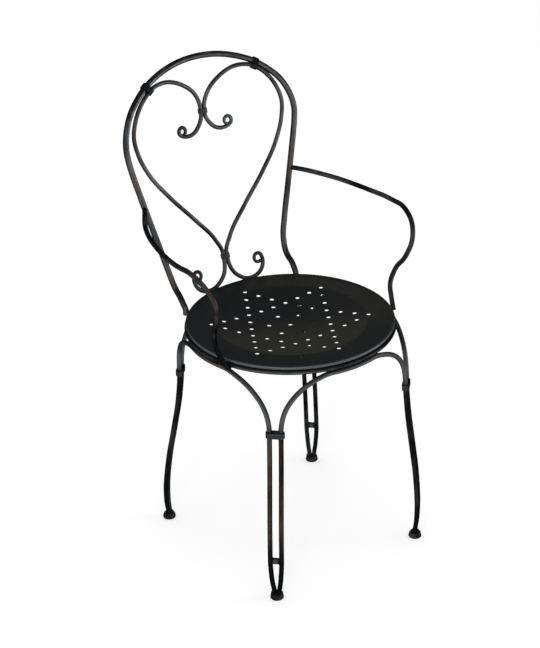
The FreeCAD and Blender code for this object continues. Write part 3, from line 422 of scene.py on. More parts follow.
def vector_math(tree, operation, *values):
    """A Vector Math node on sockets or plain vectors."""
    node = new_node(tree, "VectorMath", dict(enumerate(values)), operation=operation)
    return node.outputs["Value" if operation in ("LENGTH", "DOT_PRODUCT") else "Vector"]


def noise(tree, vector, scale, detail, roughness=0.6):
    """A Noise Texture node, as one number."""
    sockets = {"Vector": vector, "Scale": scale, "Detail": detail, "Roughness": roughness}
    return new_node(tree, "TexNoise", sockets).outputs["Fac"]


def ramp(tree, value, low, high, start=0.0, end=1.0):
    """A number that runs smoothly from start to end as a value goes from low to high."""
    sockets = {"Value": value, "From Min": low, "From Max": high, "To Min": start, "To Max": end}
    return new_node(tree, "MapRange", sockets, interpolation_type="SMOOTHSTEP").outputs[0]


def clamped(tree, value):
    """A value kept between 0 and 1."""
    return new_node(tree, "Clamp", {0: value}).outputs[0]


# A Mix node's sockets for its two colours and for its result
MIX_FIRST, MIX_SECOND, MIX_RESULT = 6, 7, 2


def mixed(tree, mask, first, second):
    """Mix two colours, each a socket or a colour, by a mask."""
    first, second = (c if isinstance(c, bpy.types.NodeSocket) else (*c, 1.0) for c in (first, second))
    sockets = {"Factor": mask, MIX_FIRST: first, MIX_SECOND: second}
    return new_node(tree, "Mix", sockets, data_type="RGBA").outputs[MIX_RESULT]


# Shader groups

# The noise above which paint is worn at a share of 0, and how far that falls for a share of 1
NOISE_HIGH, NOISE_RANGE = 0.78, 0.56


def new_group(name, output, **inputs):
    """An empty shader group: a vector, numbers by name with their defaults, and one number out."""
    group = bpy.data.node_groups.new(name, "ShaderNodeTree")
    group.interface.new_socket("Vector", in_out="INPUT", socket_type="NodeSocketVector")
    for label, value in inputs.items():
        socket = group.interface.new_socket(label, in_out="INPUT", socket_type="NodeSocketFloat")
        socket.default_value = value
    group.interface.new_socket(output, in_out="OUTPUT", socket_type="NodeSocketFloat")
    return group, group.nodes.new("NodeGroupInput").outputs, group.nodes.new("NodeGroupOutput").inputs[0]


def patches_group():
    """Worn patches: noise less a level that falls as their share grows, over their borders' softness."""
    group, given, result = new_group("worn_patches", "Mask", Scale=30.0, Share=0.4, Softness=0.1)
    wide = noise(group, given["Vector"], given["Scale"], 6.0, 0.65)
    fall = times(group, given["Share"], NOISE_RANGE)
    level = maths(group, "SUBTRACT", NOISE_HIGH, fall)
    rise = maths(group, "DIVIDE", maths(group, "SUBTRACT", wide, level), given["Softness"])
    mask = maths(group, "SMOOTH_MIN", maths(group, "SMOOTH_MAX", rise, 0.0, 0.1), 1.0, 0.1)
    feed(group, clamped(group, mask), result)
    return group


def grain_group():
    """The paint's grain: fine peel less small pits plus slow hammer marks, as one height."""
    group, given, result = new_group("paint_grain", "Height", Peel=0.4, Pits=0.6, Waves=0.5)
    vector = given["Vector"]
    peel = times(group, noise(group, vector, 700.0, 2.0), given["Peel"])
    pit = maths(group, "LESS_THAN", noise(group, vector, 260.0, 3.0), 0.36)
    pit = times(group, pit, given["Pits"])
    wave = times(group, noise(group, vector, 55.0, 1.0), given["Waves"])
    feed(group, maths(group, "ADD", maths(group, "SUBTRACT", peel, pit), wave), result)
    return group


def painted_shade_group():
    """Painted shade: darker by one amount on surfaces that face up, and by another on those that face
    sideways, their borders broken by noise."""
    group, given, result = new_group("painted_shade_by_facing", "Mask", Tops=0.9, Sides=0.0)
    normal = new_node(group, "NewGeometry", {}).outputs["Normal"]
    facing = new_node(group, "SeparateXYZ", {0: normal}).outputs
    spread = times(group, noise(group, given["Vector"], 40.0, 4.0), 0.5)
    top = ramp(group, maths(group, "ADD", facing["Z"], spread), 0.28, 0.85)
    frontal = maths(group, "ABSOLUTE", facing["Y"])
    side = ramp(group, maths(group, "SUBTRACT", frontal, spread), 0.62, 0.1)
    painted_shade = maths(group, "MAXIMUM", times(group, top, given["Tops"]), times(group, side, given["Sides"]))
    feed(group, painted_shade, result)
    return group


GROUP_MAKERS = {"worn_patches": patches_group, "paint_grain": grain_group, "painted_shade_by_facing": painted_shade_group}
GROUPS = {}


def place_group(tree, name, vector, **values):
    """A shader group, made once, placed in a material with its own values."""
    if name not in GROUPS:
        GROUPS[name] = GROUP_MAKERS[name]()
    sockets = {"Vector": vector, **{label.capitalize(): value for label, value in values.items()}}
    return new_node(tree, "Group", sockets, node_tree=GROUPS[name]).outputs[0]


# Materials

# Stretches of a pattern: none, drawn out along upright bars, and more so along the legs
EVEN, UPRIGHT, LEGGY = (1.0, 1.0, 1.0), (1.0, 1.0, 0.35), (1.0, 1.0, 0.22)
# On the legs, in metres: the heights over which the painted highlight of slate under the seat comes on,
#  those over which wear comes on, and the places over which it grows from the rear to the front
PAINTED_HIGHLIGHT_LOW, PAINTED_HIGHLIGHT_HIGH, WORN_LOW, WORN_HIGH, WORN_REAR, WORN_FRONT = 0.335, 0.38, 0.08, 0.15, 0.05, -0.17
# Directions towards which the seat's paint turns olive
SEAT_FRONT, SEAT_RIGHT = (-0.34, -0.94, 0.0), (0.94, 0.34, 0.0)


def material_start(name, stretch=EVEN):
    """A new material, its Principled shader, a stretched Object coordinate, and the scene's colours."""
    material = bpy.data.materials.new(name)
    material.use_nodes = True
    tree = material.node_tree
    place = new_node(tree, "TexCoord", {}).outputs["Object"]
    vector = new_node(tree, "Mapping", {"Vector": place, "Scale": stretch}).outputs[0]
    return material, tree, tree.nodes["Principled BSDF"], vector, bpy.context.scene.armchair_paint


def surface(tree, shader, vector, worn, roughness, metallic, bump, **grain):
    """A dark metal's shine, which fades towards the edge of a round bar, with no clear coat over it, and
    rougher where it is worn. The grain of its paint is a bump, given by its strength and its height."""
    rough = new_node(tree, "MapRange", {"Value": worn, "To Min": roughness[0], "To Max": roughness[1]})
    feed(tree, rough.outputs[0], shader.inputs["Roughness"])
    feed(tree, metallic, shader.inputs["Metallic"])
    shader.inputs["Specular Tint"].default_value = (0.0, 0.0, 0.0, 1.0)
    shader.inputs["Specular IOR Level"].default_value = 0.02
    height = place_group(tree, "paint_grain", vector, **grain)
    bumps = new_node(tree, "Bump", {"Strength": bump[0], "Distance": bump[1], "Height": height})
    feed(tree, bumps.outputs[0], shader.inputs["Normal"])


def bar_material(name, shine, brown, tops, sides=0.0, sheen=0.36, stretch=UPRIGHT, leg=False):
    """Old satin black on a bar: slate patches, painted shade that blackens its tops and sideways faces, and
    brown wear. A leg also gets a painted highlight of slate on its top under the seat, and is worn less at
    its foot and at the rear."""
    material, tree, shader, vector, colours = material_start(name, stretch)
    wear = colours.wear / PLAIN_WEAR
    bright = place_group(tree, "worn_patches", vector, scale=17.0, share=shine, softness=0.45)
    # Painted shade: black over faces that point up, and over those that face sideways
    painted_shade = place_group(tree, "painted_shade_by_facing", vector, tops=tops, sides=sides)
    worn = place_group(tree, "worn_patches", vector, scale=22.0, share=brown * wear, softness=0.3)
    flecks = place_group(tree, "worn_patches", vector, scale=120.0, share=0.2 * wear, softness=0.1)
    if leg:
        spot = new_node(tree, "SeparateXYZ", {0: vector}).outputs
        height = maths(tree, "DIVIDE", spot["Z"], stretch[2])
        # Painted highlight: more slate on the leg's top, under the seat
        highlighted = ramp(tree, height, PAINTED_HIGHLIGHT_LOW, PAINTED_HIGHLIGHT_HIGH, 0.0, 0.7)
        bright = maths(tree, "MAXIMUM", bright, highlighted)
        frontward = ramp(tree, spot["Y"], WORN_REAR, WORN_FRONT, 0.3, 1.0)
        exposed = times(tree, ramp(tree, height, WORN_LOW, WORN_HIGH), frontward)
        worn = times(tree, worn, exposed)
    colour = mixed(tree, bright, colours.black, colours.slate)
    colour = mixed(tree, painted_shade, colour, colours.black)
    colour = mixed(tree, worn, colour, colours.rust)
    feed(tree, mixed(tree, flecks, colour, colours.rust), shader.inputs["Base Color"])
    surface(tree, shader, vector, worn, (sheen, 0.55), 0.85, (0.35, 0.0004), peel=0.25, pits=0.35, waves=0.9)
    return material


def seat_material():
    """The pressed seat: blue-black, olive towards the front of its dish and on its right, and a painted
    highlight of slate, with more metal, on the outside of its rolled edge."""
    material, tree, shader, vector, colours = material_start("seat_paint")
    from_axis = vector_math(tree, "SUBTRACT", vector, (0.0, SEAT_Y, 0.0))
    flat = vector_math(tree, "MULTIPLY", from_axis, (1.0, 1.0, 0.0))
    radius = vector_math(tree, "LENGTH", flat)
    cloud = maths(tree, "SUBTRACT", noise(tree, vector, 12.0, 5.0), 0.5)
    edge = maths(tree, "ADD", radius, times(tree, cloud, 0.012))
    inside = ramp(tree, edge, (DISH_RADIUS + 3) * MM, (DISH_RADIUS - 3) * MM)
    drift = times(tree, cloud, 0.16)
    forward = maths(tree, "ADD", vector_math(tree, "DOT_PRODUCT", flat, SEAT_FRONT), drift)
    front = ramp(tree, forward, -0.03, 0.075)
    rightward = maths(tree, "ADD", vector_math(tree, "DOT_PRODUCT", flat, SEAT_RIGHT), drift)
    right = ramp(tree, rightward, 0.03, 0.13, 0.0, 0.55)
    right = times(tree, right, ramp(tree, inside, 0.0, 1.0, 1.0, 0.35))
    fine = maths(tree, "ADD", times(tree, noise(tree, vector, 60.0, 6.0), 0.8), 0.5)
    # The share of olive: towards the front of the dish and on the right
    rubbed = maths(tree, "MAXIMUM", times(tree, inside, front), right)
    rubbed = clamped(tree, times(tree, rubbed, fine))
    brown = place_group(tree, "worn_patches", vector, scale=60.0, share=0.16, softness=0.08)
    # Painted highlight: slate and more metal on the outside of the rolled edge
    rolled = ramp(tree, radius, (EDGE_RING + 0.6) * MM, (EDGE_RING + 2.2) * MM)
    colour = mixed(tree, rubbed, colours.seat, colours.olive)
    colour = mixed(tree, brown, colour, colours.rust)
    colour = mixed(tree, times(tree, rolled, 0.62), colour, colours.slate)
    feed(tree, colour, shader.inputs["Base Color"])
    metal = ramp(tree, rolled, 0.0, 1.0, 0.25, 0.9)
    surface(tree, shader, vector, rubbed, (0.42, 0.6), metal, (0.3, 0.0005), peel=0.3, pits=0.3, waves=0.8)
    return material


def weld_material():
    """Weld beads under paint: rougher, with brown in the ripples."""
    material, tree, shader, vector, colours = material_start("weld_paint")
    brown = place_group(tree, "worn_patches", vector, scale=160.0, share=0.5, softness=0.2)
    feed(tree, mixed(tree, brown, colours.black, colours.rust), shader.inputs["Base Color"])
    surface(tree, shader, vector, brown, (0.5, 0.75), 0.7, (0.5, 0.0004), peel=0.6, pits=0.8, waves=0.4)
    return material


# tops and sides: how strongly the painted shade blackens faces that point up and those that face sideways
FINISHES = {
    "hoop_paint": dict(shine=0.95, brown=0.55, tops=0.95, sides=0.8, sheen=0.3),
    "ring_paint": dict(shine=0.85, brown=0.15, tops=0.9),
    "arm_paint": dict(shine=0.62, brown=0.52, tops=0.8),
    "heart_paint": dict(shine=0.9, brown=0.55, tops=0.8, sides=0.8, sheen=0.3, stretch=EVEN),
    "leg_paint": dict(shine=0.45, brown=0.6, tops=0.8, stretch=LEGGY, leg=True),
    "rear_leg_paint": dict(shine=0.58, brown=0.45, tops=0.8, stretch=LEGGY, leg=True),
    "fitting_paint": dict(shine=0.75, brown=0.18, tops=0.9, sheen=0.42, stretch=EVEN),
    "foot_paint": dict(shine=0.62, brown=0.1, tops=0.35, sheen=0.4, stretch=EVEN),
}
MATERIALS = {}


def finish(name):
    """A finish of the bars and fittings, made once."""
    if name not in MATERIALS:
        MATERIALS[name] = bar_material(name, **FINISHES[name])
    return MATERIALS[name]


# The CAD nodes that show: the finish of each, by the start of its name

BARS = {
    "back_hoop": "hoop_paint", "seat_ring": "ring_paint", "arm_": "arm_paint",
    "leg_arch_front": "leg_paint", "leg_arch_left": "leg_paint",
    "leg_arch_right": "rear_leg_paint", "leg_arch_back": "rear_leg_paint",
}
FITTINGS = {
    "hoop_collar": "fitting_paint", "heart_tie": "fitting_paint", "leg_collar": "fitting_paint",
    "leg_bridge": "fitting_paint", "foot": "foot_paint",
}
MERGE_WITHIN = 1e-5
SHARP_EDGE = math.radians(38)


def dress_nodes(finishes):
    """Give CAD nodes their finish and smooth shading that keeps their sharp ends."""
    for name in sorted(NODES):
        for start in finishes:
            if name.startswith(start):
                node = NODES[name]
                node.data.materials.clear()
                node.data.materials.append(finish(finishes[start]))
                node.data.polygons.foreach_set("use_smooth", np.ones(len(node.data.polygons), bool))
                weld = node.modifiers.new("merge", "WELD")
                weld.merge_threshold = MERGE_WITHIN
                split = node.modifiers.new("sharp_edges", "EDGE_SPLIT")
                split.split_angle = SHARP_EDGE


class ARMCHAIR_OT_bars(bpy.types.Operator):
    """Paint the hoop, the arms, the ring and the legs' long bars"""
    bl_idname = "armchair.bars"
    bl_label = "Paint the bars"

    def execute(self, context):
        dress_nodes(BARS)
        return {"FINISHED"}


class ARMCHAIR_OT_fittings(bpy.types.Operator):
    """Paint the straps, ties, short bars and feet"""
    bl_idname = "armchair.fittings"
    bl_label = "Paint the fittings"

    def execute(self, context):
        dress_nodes(FITTINGS)
        return {"FINISHED"}


# The heart's bars: points round them, steps in a span, spacing in metres, and where a ring of points starts
BAR_POINTS, SPAN_STEPS, BAR_SPACING = 24, 24, 0.0012
HEART_UP = np.array([0.0, -1.0, 0.15])


class ARMCHAIR_OT_heart(bpy.types.Operator):
    """Bend the two halves of the heart, each from scroll to scroll, with thinning tails"""
    bl_idname = "armchair.heart"
    bl_label = "Bend the heart"

    def execute(self, context):
        size = context.scene.armchair_sizes
        knots, headings = heart_knots()
        line, along = even(curve_through(placed(knots), SPAN_STEPS, headings), BAR_SPACING)
        tail = np.minimum(along, along[-1] - along) / size.tail_length
        radius = HEART_ROD * MM * (1 - size.tail_taper * (1 - smooth_step(tail)))
        points, faces = round_bar(line, radius, BAR_POINTS, HEART_UP)
        for name, mirror in (("heart_bar_right", 1), ("heart_bar_left", -1)):
            shape = points * np.array([mirror, 1, 1])
            turned = [face[::mirror] for face in faces]
            piece = make_piece("scrolled_" + name, shape, turned, finish("heart_paint"))
            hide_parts(name)
        return {"FINISHED"}


# The seat: one pressed sheet with a curled edge and a star of punched holes

BORDER_HEIGHT = PAN_HEIGHT - BORDER_STEP
# Softness of the crease between dish and border, and width of the lip at a hole
PRESS_ROUNDING, LIP_WIDTH = 0.6, 1.3
# Where the edge's section starts on the border and has its second point, and how far it is curled round
SHEET_END, SECOND_RING, CURL_TURN = 186.0, 189.0, 318
CURL_FILLET, FILLET_POINTS, ROLL_POINTS = 1.6, 5, 40
# The star: steps in a side, the holes that each side brings, so that none comes twice, and the radius of the
# inner ring in steps
STAR_STEPS, STAR_HOLES, INNER_RING = 9, (0, 1, 2, 3, 4, 5, 7, 8), 1.4
# The sheet's points: how many round the rim and a hole, the rings round a hole and the room they keep, and
# the circles between, with the radius of the first, their spacing, and how far before the rim they end
RIM_POINTS, HOLE_POINTS, HOLE_RINGS, HOLE_ROOM = 300, 20, (HOLE_RADIUS, 4.5, 5.2, 6.4), 8.2
FIELD_START, FIELD_SPACING, FIELD_MARGIN = 6.0, 5.0, 2.0
# A triangle whose middle lies within this share of a hole's radius is left out
OPEN_SHARE = 0.985


def star_holes():
    """Middles of the holes: a six-pointed star and a ring of six, from one sixth turned six times, and one
    in the middle."""
    inner = STAR_STEPS / (2 * math.sqrt(3))
    turn = math.radians(30)
    along = np.array(STAR_HOLES) - STAR_STEPS / 2
    side = np.stack([inner * math.cos(turn) - along * math.sin(turn),
                     inner * math.sin(turn) + along * math.cos(turn)], 1)
    sector = np.concatenate([side, [[INNER_RING * math.cos(turn), INNER_RING * math.sin(turn)]]])
    sixths = np.radians(np.arange(6) * 60)
    spin = np.stack([np.cos(sixths), -np.sin(sixths), np.sin(sixths), np.cos(sixths)], 1).reshape(6, 2, 2)
    holes = np.einsum("aij,bj->abi", spin, sector).reshape(-1, 2)
    return np.concatenate([holes, [[0.0, 0.0]]]) * STAR_PITCH


def hole_distance(spots, holes):
    """Distance from each spot to the middle of the nearest hole."""
    return np.sqrt(((spots[:, None] - holes[None]) ** 2).sum(-1)).min(1)


def pan_height(plan, holes, lip):
    """Top of the sheet: the lower of a spherical dish and the flat border, run together softly, and drawn
    down at each hole by a bell-shaped lip."""
    ball = (DISH_RADIUS ** 2 + DISH_DEPTH ** 2) / (2 * DISH_DEPTH)
    r = np.hypot(plan[:, 0], plan[:, 1])
    dish = BORDER_HEIGHT - DISH_DEPTH + ball - np.sqrt(ball ** 2 - r ** 2)
    k = PRESS_ROUNDING
    low = np.minimum(dish, BORDER_HEIGHT)
    z = low - k * np.log(np.exp((low - dish) / k) + np.exp((low - BORDER_HEIGHT) / k))
    beyond = np.maximum(hole_distance(plan, holes) - HOLE_RADIUS, 0)
    return z - lip * np.exp(-(beyond / LIP_WIDTH) ** 2)


def sheet_plan(holes):
    """Points of the sheet in plan: rings round each hole, and circles round the seat's axis between them."""
    rims = holes[:, None, None] + circle(HOLE_POINTS)[None, None] * np.array(HOLE_RINGS)[None, :, None, None]
    circles = []
    for radius in np.arange(FIELD_START, SHEET_END - FIELD_MARGIN, FIELD_SPACING):
        circles.append(radius * circle(max(int(radius * 2 * np.pi / FIELD_SPACING), 6)))
    field = np.concatenate(circles)
    field = field[hole_distance(field, holes) > HOLE_ROOM]
    return np.concatenate([rims.reshape(-1, 2), field, SHEET_END * circle(RIM_POINTS)])


def pressed_sheet(lip):
    """The sheet inside its edge: its plan in triangles, open at the holes and raised to its top."""
    holes = star_holes()
    spots = [Vector(spot) for spot in sheet_plan(holes).tolist()]
    plan, _, triangles, *_ = geometry.delaunay_2d_cdt(spots, [], [], 0, 1e-5)
    plan = np.array([tuple(spot) for spot in plan])
    triangles = np.array([tuple(corners) for corners in triangles])
    triangles = triangles[hole_distance(plan[triangles].mean(1), holes) > HOLE_RADIUS * OPEN_SHARE]
    top = np.column_stack([plan, pan_height(plan, holes, lip)])
    top[np.hypot(plan[:, 0], plan[:, 1]) > SHEET_END - 0.1, 2] = BORDER_HEIGHT
    first, second, third = (top[triangles[:, i]] for i in range(3))
    upward = np.cross(second - first, third - first)[:, 2] > 0
    triangles[~upward] = triangles[~upward][:, ::-1]
    return top, triangles


def curl_profile():
    """The pan's edge in section, from the flat border into a fillet, over the roll and round underneath."""
    level = BORDER_HEIGHT + CURL_FILLET
    reach = EDGE_RADIUS + CURL_FILLET
    across = math.sqrt(reach ** 2 - (level - EDGE_HEIGHT) ** 2)
    meet = math.atan2(EDGE_HEIGHT - level, across)
    a = np.linspace(-math.pi / 2, meet, FILLET_POINTS)
    inner = np.array([EDGE_RING - across, level]) + CURL_FILLET * np.stack([np.cos(a), np.sin(a)], 1)
    start = meet + math.pi
    a = np.linspace(start, start - math.radians(CURL_TURN), ROLL_POINTS)[1:]
    roll = np.array([EDGE_RING, EDGE_HEIGHT]) + EDGE_RADIUS * np.stack([np.cos(a), np.sin(a)], 1)
    flat = np.array([[SHEET_END, BORDER_HEIGHT], [SECOND_RING, BORDER_HEIGHT]])
    return np.concatenate([flat, inner, roll])


def curled_edge():
    """The edge's section turned round the seat's axis."""
    profile = curl_profile()
    ring = circle(RIM_POINTS)
    rings = np.stack([profile[:, :1] * ring[:, 0], profile[:, :1] * ring[:, 1],
                      np.repeat(profile[:, 1:], RIM_POINTS, 1)], -1)
    return rings.reshape(-1, 3), ring_faces(len(profile), RIM_POINTS)[:, ::-1]


class ARMCHAIR_OT_seat(bpy.types.Operator):
    """Press the seat from one sheet: dished, curled at its edge and punched with a star of holes"""
    bl_idname = "armchair.seat"
    bl_label = "Press the seat"

    def execute(self, context):
        top, triangles = pressed_sheet(context.scene.armchair_sizes.hole_lip / MM)
        edge, quads = curled_edge()
        points = np.concatenate([top, edge])
        _, keep, same = np.unique(np.round(points, 3), axis=0, return_index=True, return_inverse=True)
        same = same.ravel()
        faces = same[triangles].tolist() + same[quads + len(top)].tolist()
        piece = make_piece("pressed_seat", placed(points[keep]), faces, seat_material())
        wall = piece.modifiers.new("sheet", "SOLIDIFY")
        wall.thickness = SHEET * MM
        wall.offset = -1
        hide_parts("seat_pan")
        return {"FINISHED"}


# Welds: rippled beads in the crevices where bars meet

# A bead: points round it and along a ripple, its least radius and how much a ripple adds, how long its
# rounded ends are, as shares of its radius, and the square of their least share
BEAD_POINTS, RIPPLE_POINTS, RIPPLE_LOW, RIPPLE_RISE, END_LENGTH, END_LEAST = 10, 8, 0.82, 0.3, 1.6, 0.02
# Added to a bead's outward direction, which can run along its path, and a direction that no weld has
BEAD_TILT, OFF_AXIS = np.array([0.013, 0.017, 0.4]), (0.3, 0.5, 0.81)
# Radius of the beads at the feet of hoop and arms, as a share of the ring's, and of those under the heart
FOOT_WELD, REST_WELD = 0.8, 2.6
# Beads beside the arches: their angles from an arch's middle, and how far they lie off the ring's line
CROWN_WELDS, CROWN_OFFSET = ((-12, -6.5), (6.5, 12)), 3.1
# Beads between ring and pan: their middles, half their length in degrees, and how far inside the edge's line
# and above the ring's they lie
PAN_WELDS, PAN_WELD_TURN, PAN_OFFSET = (-60, -14, 30, 75, 120, 165, 210, 255), 2.2, 3.2
# On the legs: how far out and up the foot's bead stands, how deep the short bar's lie in the leg's bars, and
# the power that squares their circle
FOOT_BEAD_OUT, BRIDGE_BEAD_IN, SQUARING = 0.5, 0.2, 0.6


def bead(path, closed, size):
    """A weld bead: a circle carried along a path, its radius swelling by the sine's size at each ripple and
    falling off at open ends as a circle does."""
    line, along = even(path, size.ripple / RIPPLE_POINTS, closed)
    radius = size.bead * (RIPPLE_LOW + RIPPLE_RISE * np.abs(np.sin(np.pi * along / size.ripple)))
    if not closed:
        ends = np.minimum(along, along[-1] - along) / (END_LENGTH * size.bead)
        radius = radius * np.sqrt(np.clip(1 - (1 - np.clip(ends, 0, 1)) ** 2, END_LEAST, 1))
    return round_bar(line, radius, BEAD_POINTS, unit(line - line.mean(0)) + BEAD_TILT, closed)


def crossing(point, normal, radius):
    """A circle round the spot where two bars touch, square to the line through their middles."""
    normal = unit(normal)
    side = unit(np.cross(normal, OFF_AXIS))
    ring = circle(32) * radius
    return point + ring[:, :1] * side + ring[:, 1:] * np.cross(normal, side)


def saddle(point, axis, heading, thick, thin):
    """Where a thin bar's end meets a thick bar's flank: a circle of the thin bar's radius, each of its points
    lifted to the thick bar's surface."""
    axis, heading = unit(axis), unit(heading - axis * (heading @ axis))
    ring = circle(40) * thin
    lift = np.sqrt(thick ** 2 - ring[:, 1:] ** 2)
    return point + heading * lift + axis * ring[:, :1] + np.cross(axis, heading) * ring[:, 1:]


def side_welds():
    """Welds of the chair's right side: hoop and arm on the ring, arm on the hoop, and heart on the pan."""
    paths = []
    for angle in (HOOP_FOOT_ANGLE, ARM_FOOT_ANGLE):
        spot = around(RING_RADIUS + RING_ROD + GAP / 2, angle, RING_HEIGHT)
        paths.append(crossing(spot, around(1.0, angle, 0.0), FOOT_WELD * RING_ROD))
    heights = (ARM_ROOT_HEIGHT, ARM_ROOT_HEIGHT + ROOT_SPAN, ARM_ROOT_HEIGHT - ROOT_SPAN)
    root, above, below = (on_back(hoop_flank(z), z) for z in heights)
    paths.append(saddle(root, above - below, np.array(ARM_LEAVES), HOOP_ROD, ARM_ROD + GAP))
    rest = heart_point(HEART_REST, REST_HEIGHT)
    seat = rest * EDGE_RING / math.hypot(rest[0], rest[1])
    seat[2] = EDGE_HEIGHT
    touch = (rest * EDGE_RADIUS + seat * HEART_ROD) / (EDGE_RADIUS + HEART_ROD)
    paths.append(crossing(touch, rest - seat, REST_WELD))
    return paths


def ring_welds():
    """Welds along the ring: on both sides of it beside each arch's middle, and under the pan's edge."""
    paths = []
    for middle in (-90, 0, 90, 180):
        for low, high in CROWN_WELDS:
            turn = np.linspace(middle + low, middle + high, 12)
            for off in (CROWN_OFFSET, -CROWN_OFFSET):
                paths.append(around(RING_RADIUS + off, turn, RING_HEIGHT - RING_ROD))
    for middle in PAN_WELDS:
        turn = np.linspace(middle - PAN_WELD_TURN, middle + PAN_WELD_TURN, 8)
        paths.append(around(EDGE_RING - PAN_OFFSET, turn, RING_HEIGHT + PAN_OFFSET))
    return paths


def leg_welds():
    """Welds of each leg: one round both bars on the foot, two half circles apart by the bars' distance, and
    one at each end of the short bar, a circle squared by a power below 1."""
    cosine, sine = circle(40).T
    square_cosine = np.sign(cosine) * np.abs(cosine) ** SQUARING
    square_sine = np.sign(sine) * np.abs(sine) ** SQUARING
    beyond = LEG_ROD + FOOT_BEAD_OUT
    paths = []
    for angle, front in LEGS:
        side = np.sign(cosine) * (LEG_ROD + GAP / 2) + beyond * cosine
        reach = leg_reach(front, FOOT_HEIGHT) + beyond * sine
        paths.append(around(reach, angle, FOOT_HEIGHT + FOOT_BEAD_OUT, side))
        reach = leg_reach(front, BRIDGE_HEIGHT) + LEG_ROD * BRIDGE_SHARE * square_cosine
        height = BRIDGE_HEIGHT + BRIDGE_THICK / 2 * square_sine
        for sign in (-1, 1):
            paths.append(around(reach, angle, height, sign * (LEG_SPACING / 2 - LEG_ROD + BRIDGE_BEAD_IN)))
    return paths


class ARMCHAIR_OT_welds(bpy.types.Operator):
    """Lay the weld beads where bars, seat and feet meet"""
    bl_idname = "armchair.welds"
    bl_label = "Lay the welds"

    def execute(self, context):
        size = context.scene.armchair_sizes
        points, faces, count = [], [], 0
        kinds = ((side_welds(), True, (1, -1)), (ring_welds(), False, (1,)), (leg_welds(), True, (1,)))
        for paths, closed, mirrors in kinds:
            for path in paths:
                shape, turned = bead(placed(path), closed, size)
                for mirror in mirrors:
                    points.append(shape * np.array([mirror, 1, 1]))
                    faces += [[i + count for i in face][::mirror] for face in turned]
                    count += len(shape)
        make_piece("weld_beads", np.concatenate(points), faces, weld_material())
        return {"FINISHED"}


# Floor, light and camera

# The floor's radius in metres, its sides, its grey, and its glow, which makes it white in pictures
FLOOR_REACH, FLOOR_SIDES, FLOOR_GREY, FLOOR_GLOW = 14.0, 64, 0.55, 0.58
# Strength of the light from all round. The backdrop itself shows at 1, which is white.
WORLD_LEVEL = 0.72
# Square lamps: name, place, side and watts, and the place they point at
LAMPS = (("window", (-2.3, -2.2, 2.6), 0.9, 24.0), ("low", (2.3, -1.7, 0.7), 0.7, 16.0))
LAMP_AIM = Vector((0, 0, 0.5))


def backdrop_ray(tree):
    """1 for the camera's rays and for reflected and transmitted ones, 0 for those that light the object."""
    path = new_node(tree, "LightPath", {}).outputs
    seen = maths(tree, "MAXIMUM", path["Is Camera Ray"], path["Is Glossy Ray"])
    return maths(tree, "MAXIMUM", seen, path["Is Transmission Ray"])


def white_world():
    """A world that lights the chair at its own level and looks white."""
    world = bpy.data.worlds.new("studio")
    world.use_nodes = True
    tree = world.node_tree
    sky = tree.nodes["Background"]
    extra = times(tree, backdrop_ray(tree), 1.0 - WORLD_LEVEL)
    feed(tree, maths(tree, "ADD", extra, WORLD_LEVEL), sky.inputs["Strength"])
    sky.inputs["Color"].default_value = (1, 1, 1, 1)
    bpy.context.scene.world = world


def floor_material():
    """A pale floor that looks white where it is lit and keeps the chair's shadow."""
    material = bpy.data.materials.new("floor_white")
    material.use_nodes = True
    tree = material.node_tree
    shader = tree.nodes["Principled BSDF"]
    shader.inputs["Base Color"].default_value = (FLOOR_GREY, FLOOR_GREY, FLOOR_GREY, 1)
    shader.inputs["Roughness"].default_value = 0.9
    shader.inputs["Specular IOR Level"].default_value = 0.1
    strength = times(tree, backdrop_ray(tree), FLOOR_GLOW)
    glow = new_node(tree, "Emission", {"Color": (1, 1, 1, 1), "Strength": strength})
    both = new_node(tree, "AddShader", {0: shader.outputs[0], 1: glow.outputs[0]})
    feed(tree, both.outputs[0], tree.nodes["Material Output"].inputs["Surface"])
    return material


def lay_floor():
    """A wide flat disc at the height of the feet."""
    disc = np.column_stack([FLOOR_REACH * circle(FLOOR_SIDES), np.zeros(FLOOR_SIDES)])
    mesh = bpy.data.meshes.new("floor")
    mesh.from_pydata(disc.tolist(), [], [list(range(FLOOR_SIDES))])
    mesh.materials.append(floor_material())
    floor = new_object("floor", mesh)


def lamp(name, place, side, watts):
    """A square soft lamp that points at the chair."""
    data = bpy.data.lights.new(name, "AREA")
    data.shape = "SQUARE"
    data.size = side
    data.energy = watts
    light = new_object(name, data)
    light.location = place
    light.rotation_euler = (LAMP_AIM - Vector(place)).to_track_quat("-Z", "Y").to_euler()


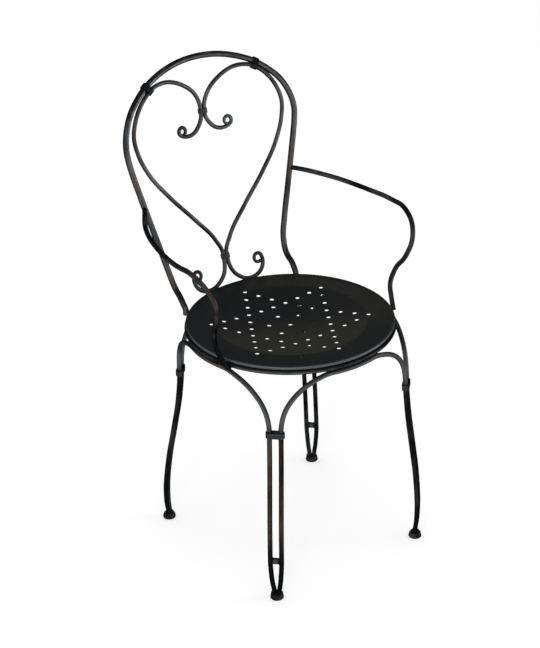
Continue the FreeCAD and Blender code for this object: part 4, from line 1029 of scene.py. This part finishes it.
def photo_camera():
    """The photograph's camera: turned by its yaw, pitch and roll, at its offset from the seat's axis."""
    yaw, pitch, roll = (math.radians(a) for a in (PHOTO_YAW, PHOTO_PITCH, PHOTO_ROLL))
    back = np.array([math.sin(yaw) * math.cos(pitch), -math.cos(yaw) * math.cos(pitch), math.sin(pitch)])
    right = np.array([math.cos(yaw), math.sin(yaw), 0.0])
    up = np.cross(back, right)
    turned = np.stack([math.cos(roll) * right + math.sin(roll) * up,
                       math.cos(roll) * up - math.sin(roll) * right, back])
    x, y, z = PHOTO_OFFSET_MM
    data = bpy.data.cameras.new("photo_camera")
    data.sensor_fit = "HORIZONTAL"
    data.sensor_width = 36.0
    data.lens = PHOTO_FOCAL_PX / PHOTO_WIDE * data.sensor_width
    data.clip_end = 100.0
    camera = new_object("photo_camera", data)
    matrix = np.eye(4)
    matrix[:3, :3] = turned.T
    matrix[:3, 3] = placed(-np.array([x, y, -z]) @ turned)
    camera.matrix_world = Matrix(matrix.tolist())
    bpy.context.scene.camera = camera


class ARMCHAIR_OT_stage(bpy.types.Operator):
    """Set the pale floor, the soft studio light and the photograph's camera"""
    bl_idname = "armchair.stage"
    bl_label = "Set the stage"

    def execute(self, context):
        context.scene.view_settings.view_transform = "Standard"
        lay_floor()
        white_world()
        for values in LAMPS:
            lamp(*values)
        photo_camera()
        return {"FINISHED"}


# The add-on

OPERATORS = (ARMCHAIR_OT_stage, ARMCHAIR_OT_bars, ARMCHAIR_OT_fittings, ARMCHAIR_OT_heart, ARMCHAIR_OT_seat,
             ARMCHAIR_OT_welds)


class ARMCHAIR_PT_panel(bpy.types.Panel):
    """Sizes, paint and building steps of the garden armchair"""
    bl_label = "Garden armchair"
    bl_idname = "ARMCHAIR_PT_panel"
    bl_space_type = "VIEW_3D"
    bl_region_type = "UI"
    bl_category = "Armchair"

    def draw(self, context):
        for group in (context.scene.armchair_sizes, context.scene.armchair_paint):
            box = self.layout.box()
            for name in group.__class__.__annotations__:
                box.prop(group, name)
        for operator in OPERATORS:
            self.layout.operator(operator.bl_idname)


CLASSES = (ArmchairSizes, ArmchairPaint, *OPERATORS, ARMCHAIR_PT_panel)


def register():
    for cls in CLASSES:
        bpy.utils.register_class(cls)
    bpy.types.Scene.armchair_sizes = bpy.props.PointerProperty(type=ArmchairSizes)
    bpy.types.Scene.armchair_paint = bpy.props.PointerProperty(type=ArmchairPaint)


def unregister():
    del bpy.types.Scene.armchair_sizes
    del bpy.types.Scene.armchair_paint
    for cls in reversed(CLASSES):
        bpy.utils.unregister_class(cls)


def main():
    """Build the chair and its stage."""
    register()
    bpy.ops.armchair.stage()
    bpy.ops.armchair.bars()
    bpy.ops.armchair.fittings()
    bpy.ops.armchair.heart()
    bpy.ops.armchair.seat()
    bpy.ops.armchair.welds()


if __name__ == "__main__":
    main()
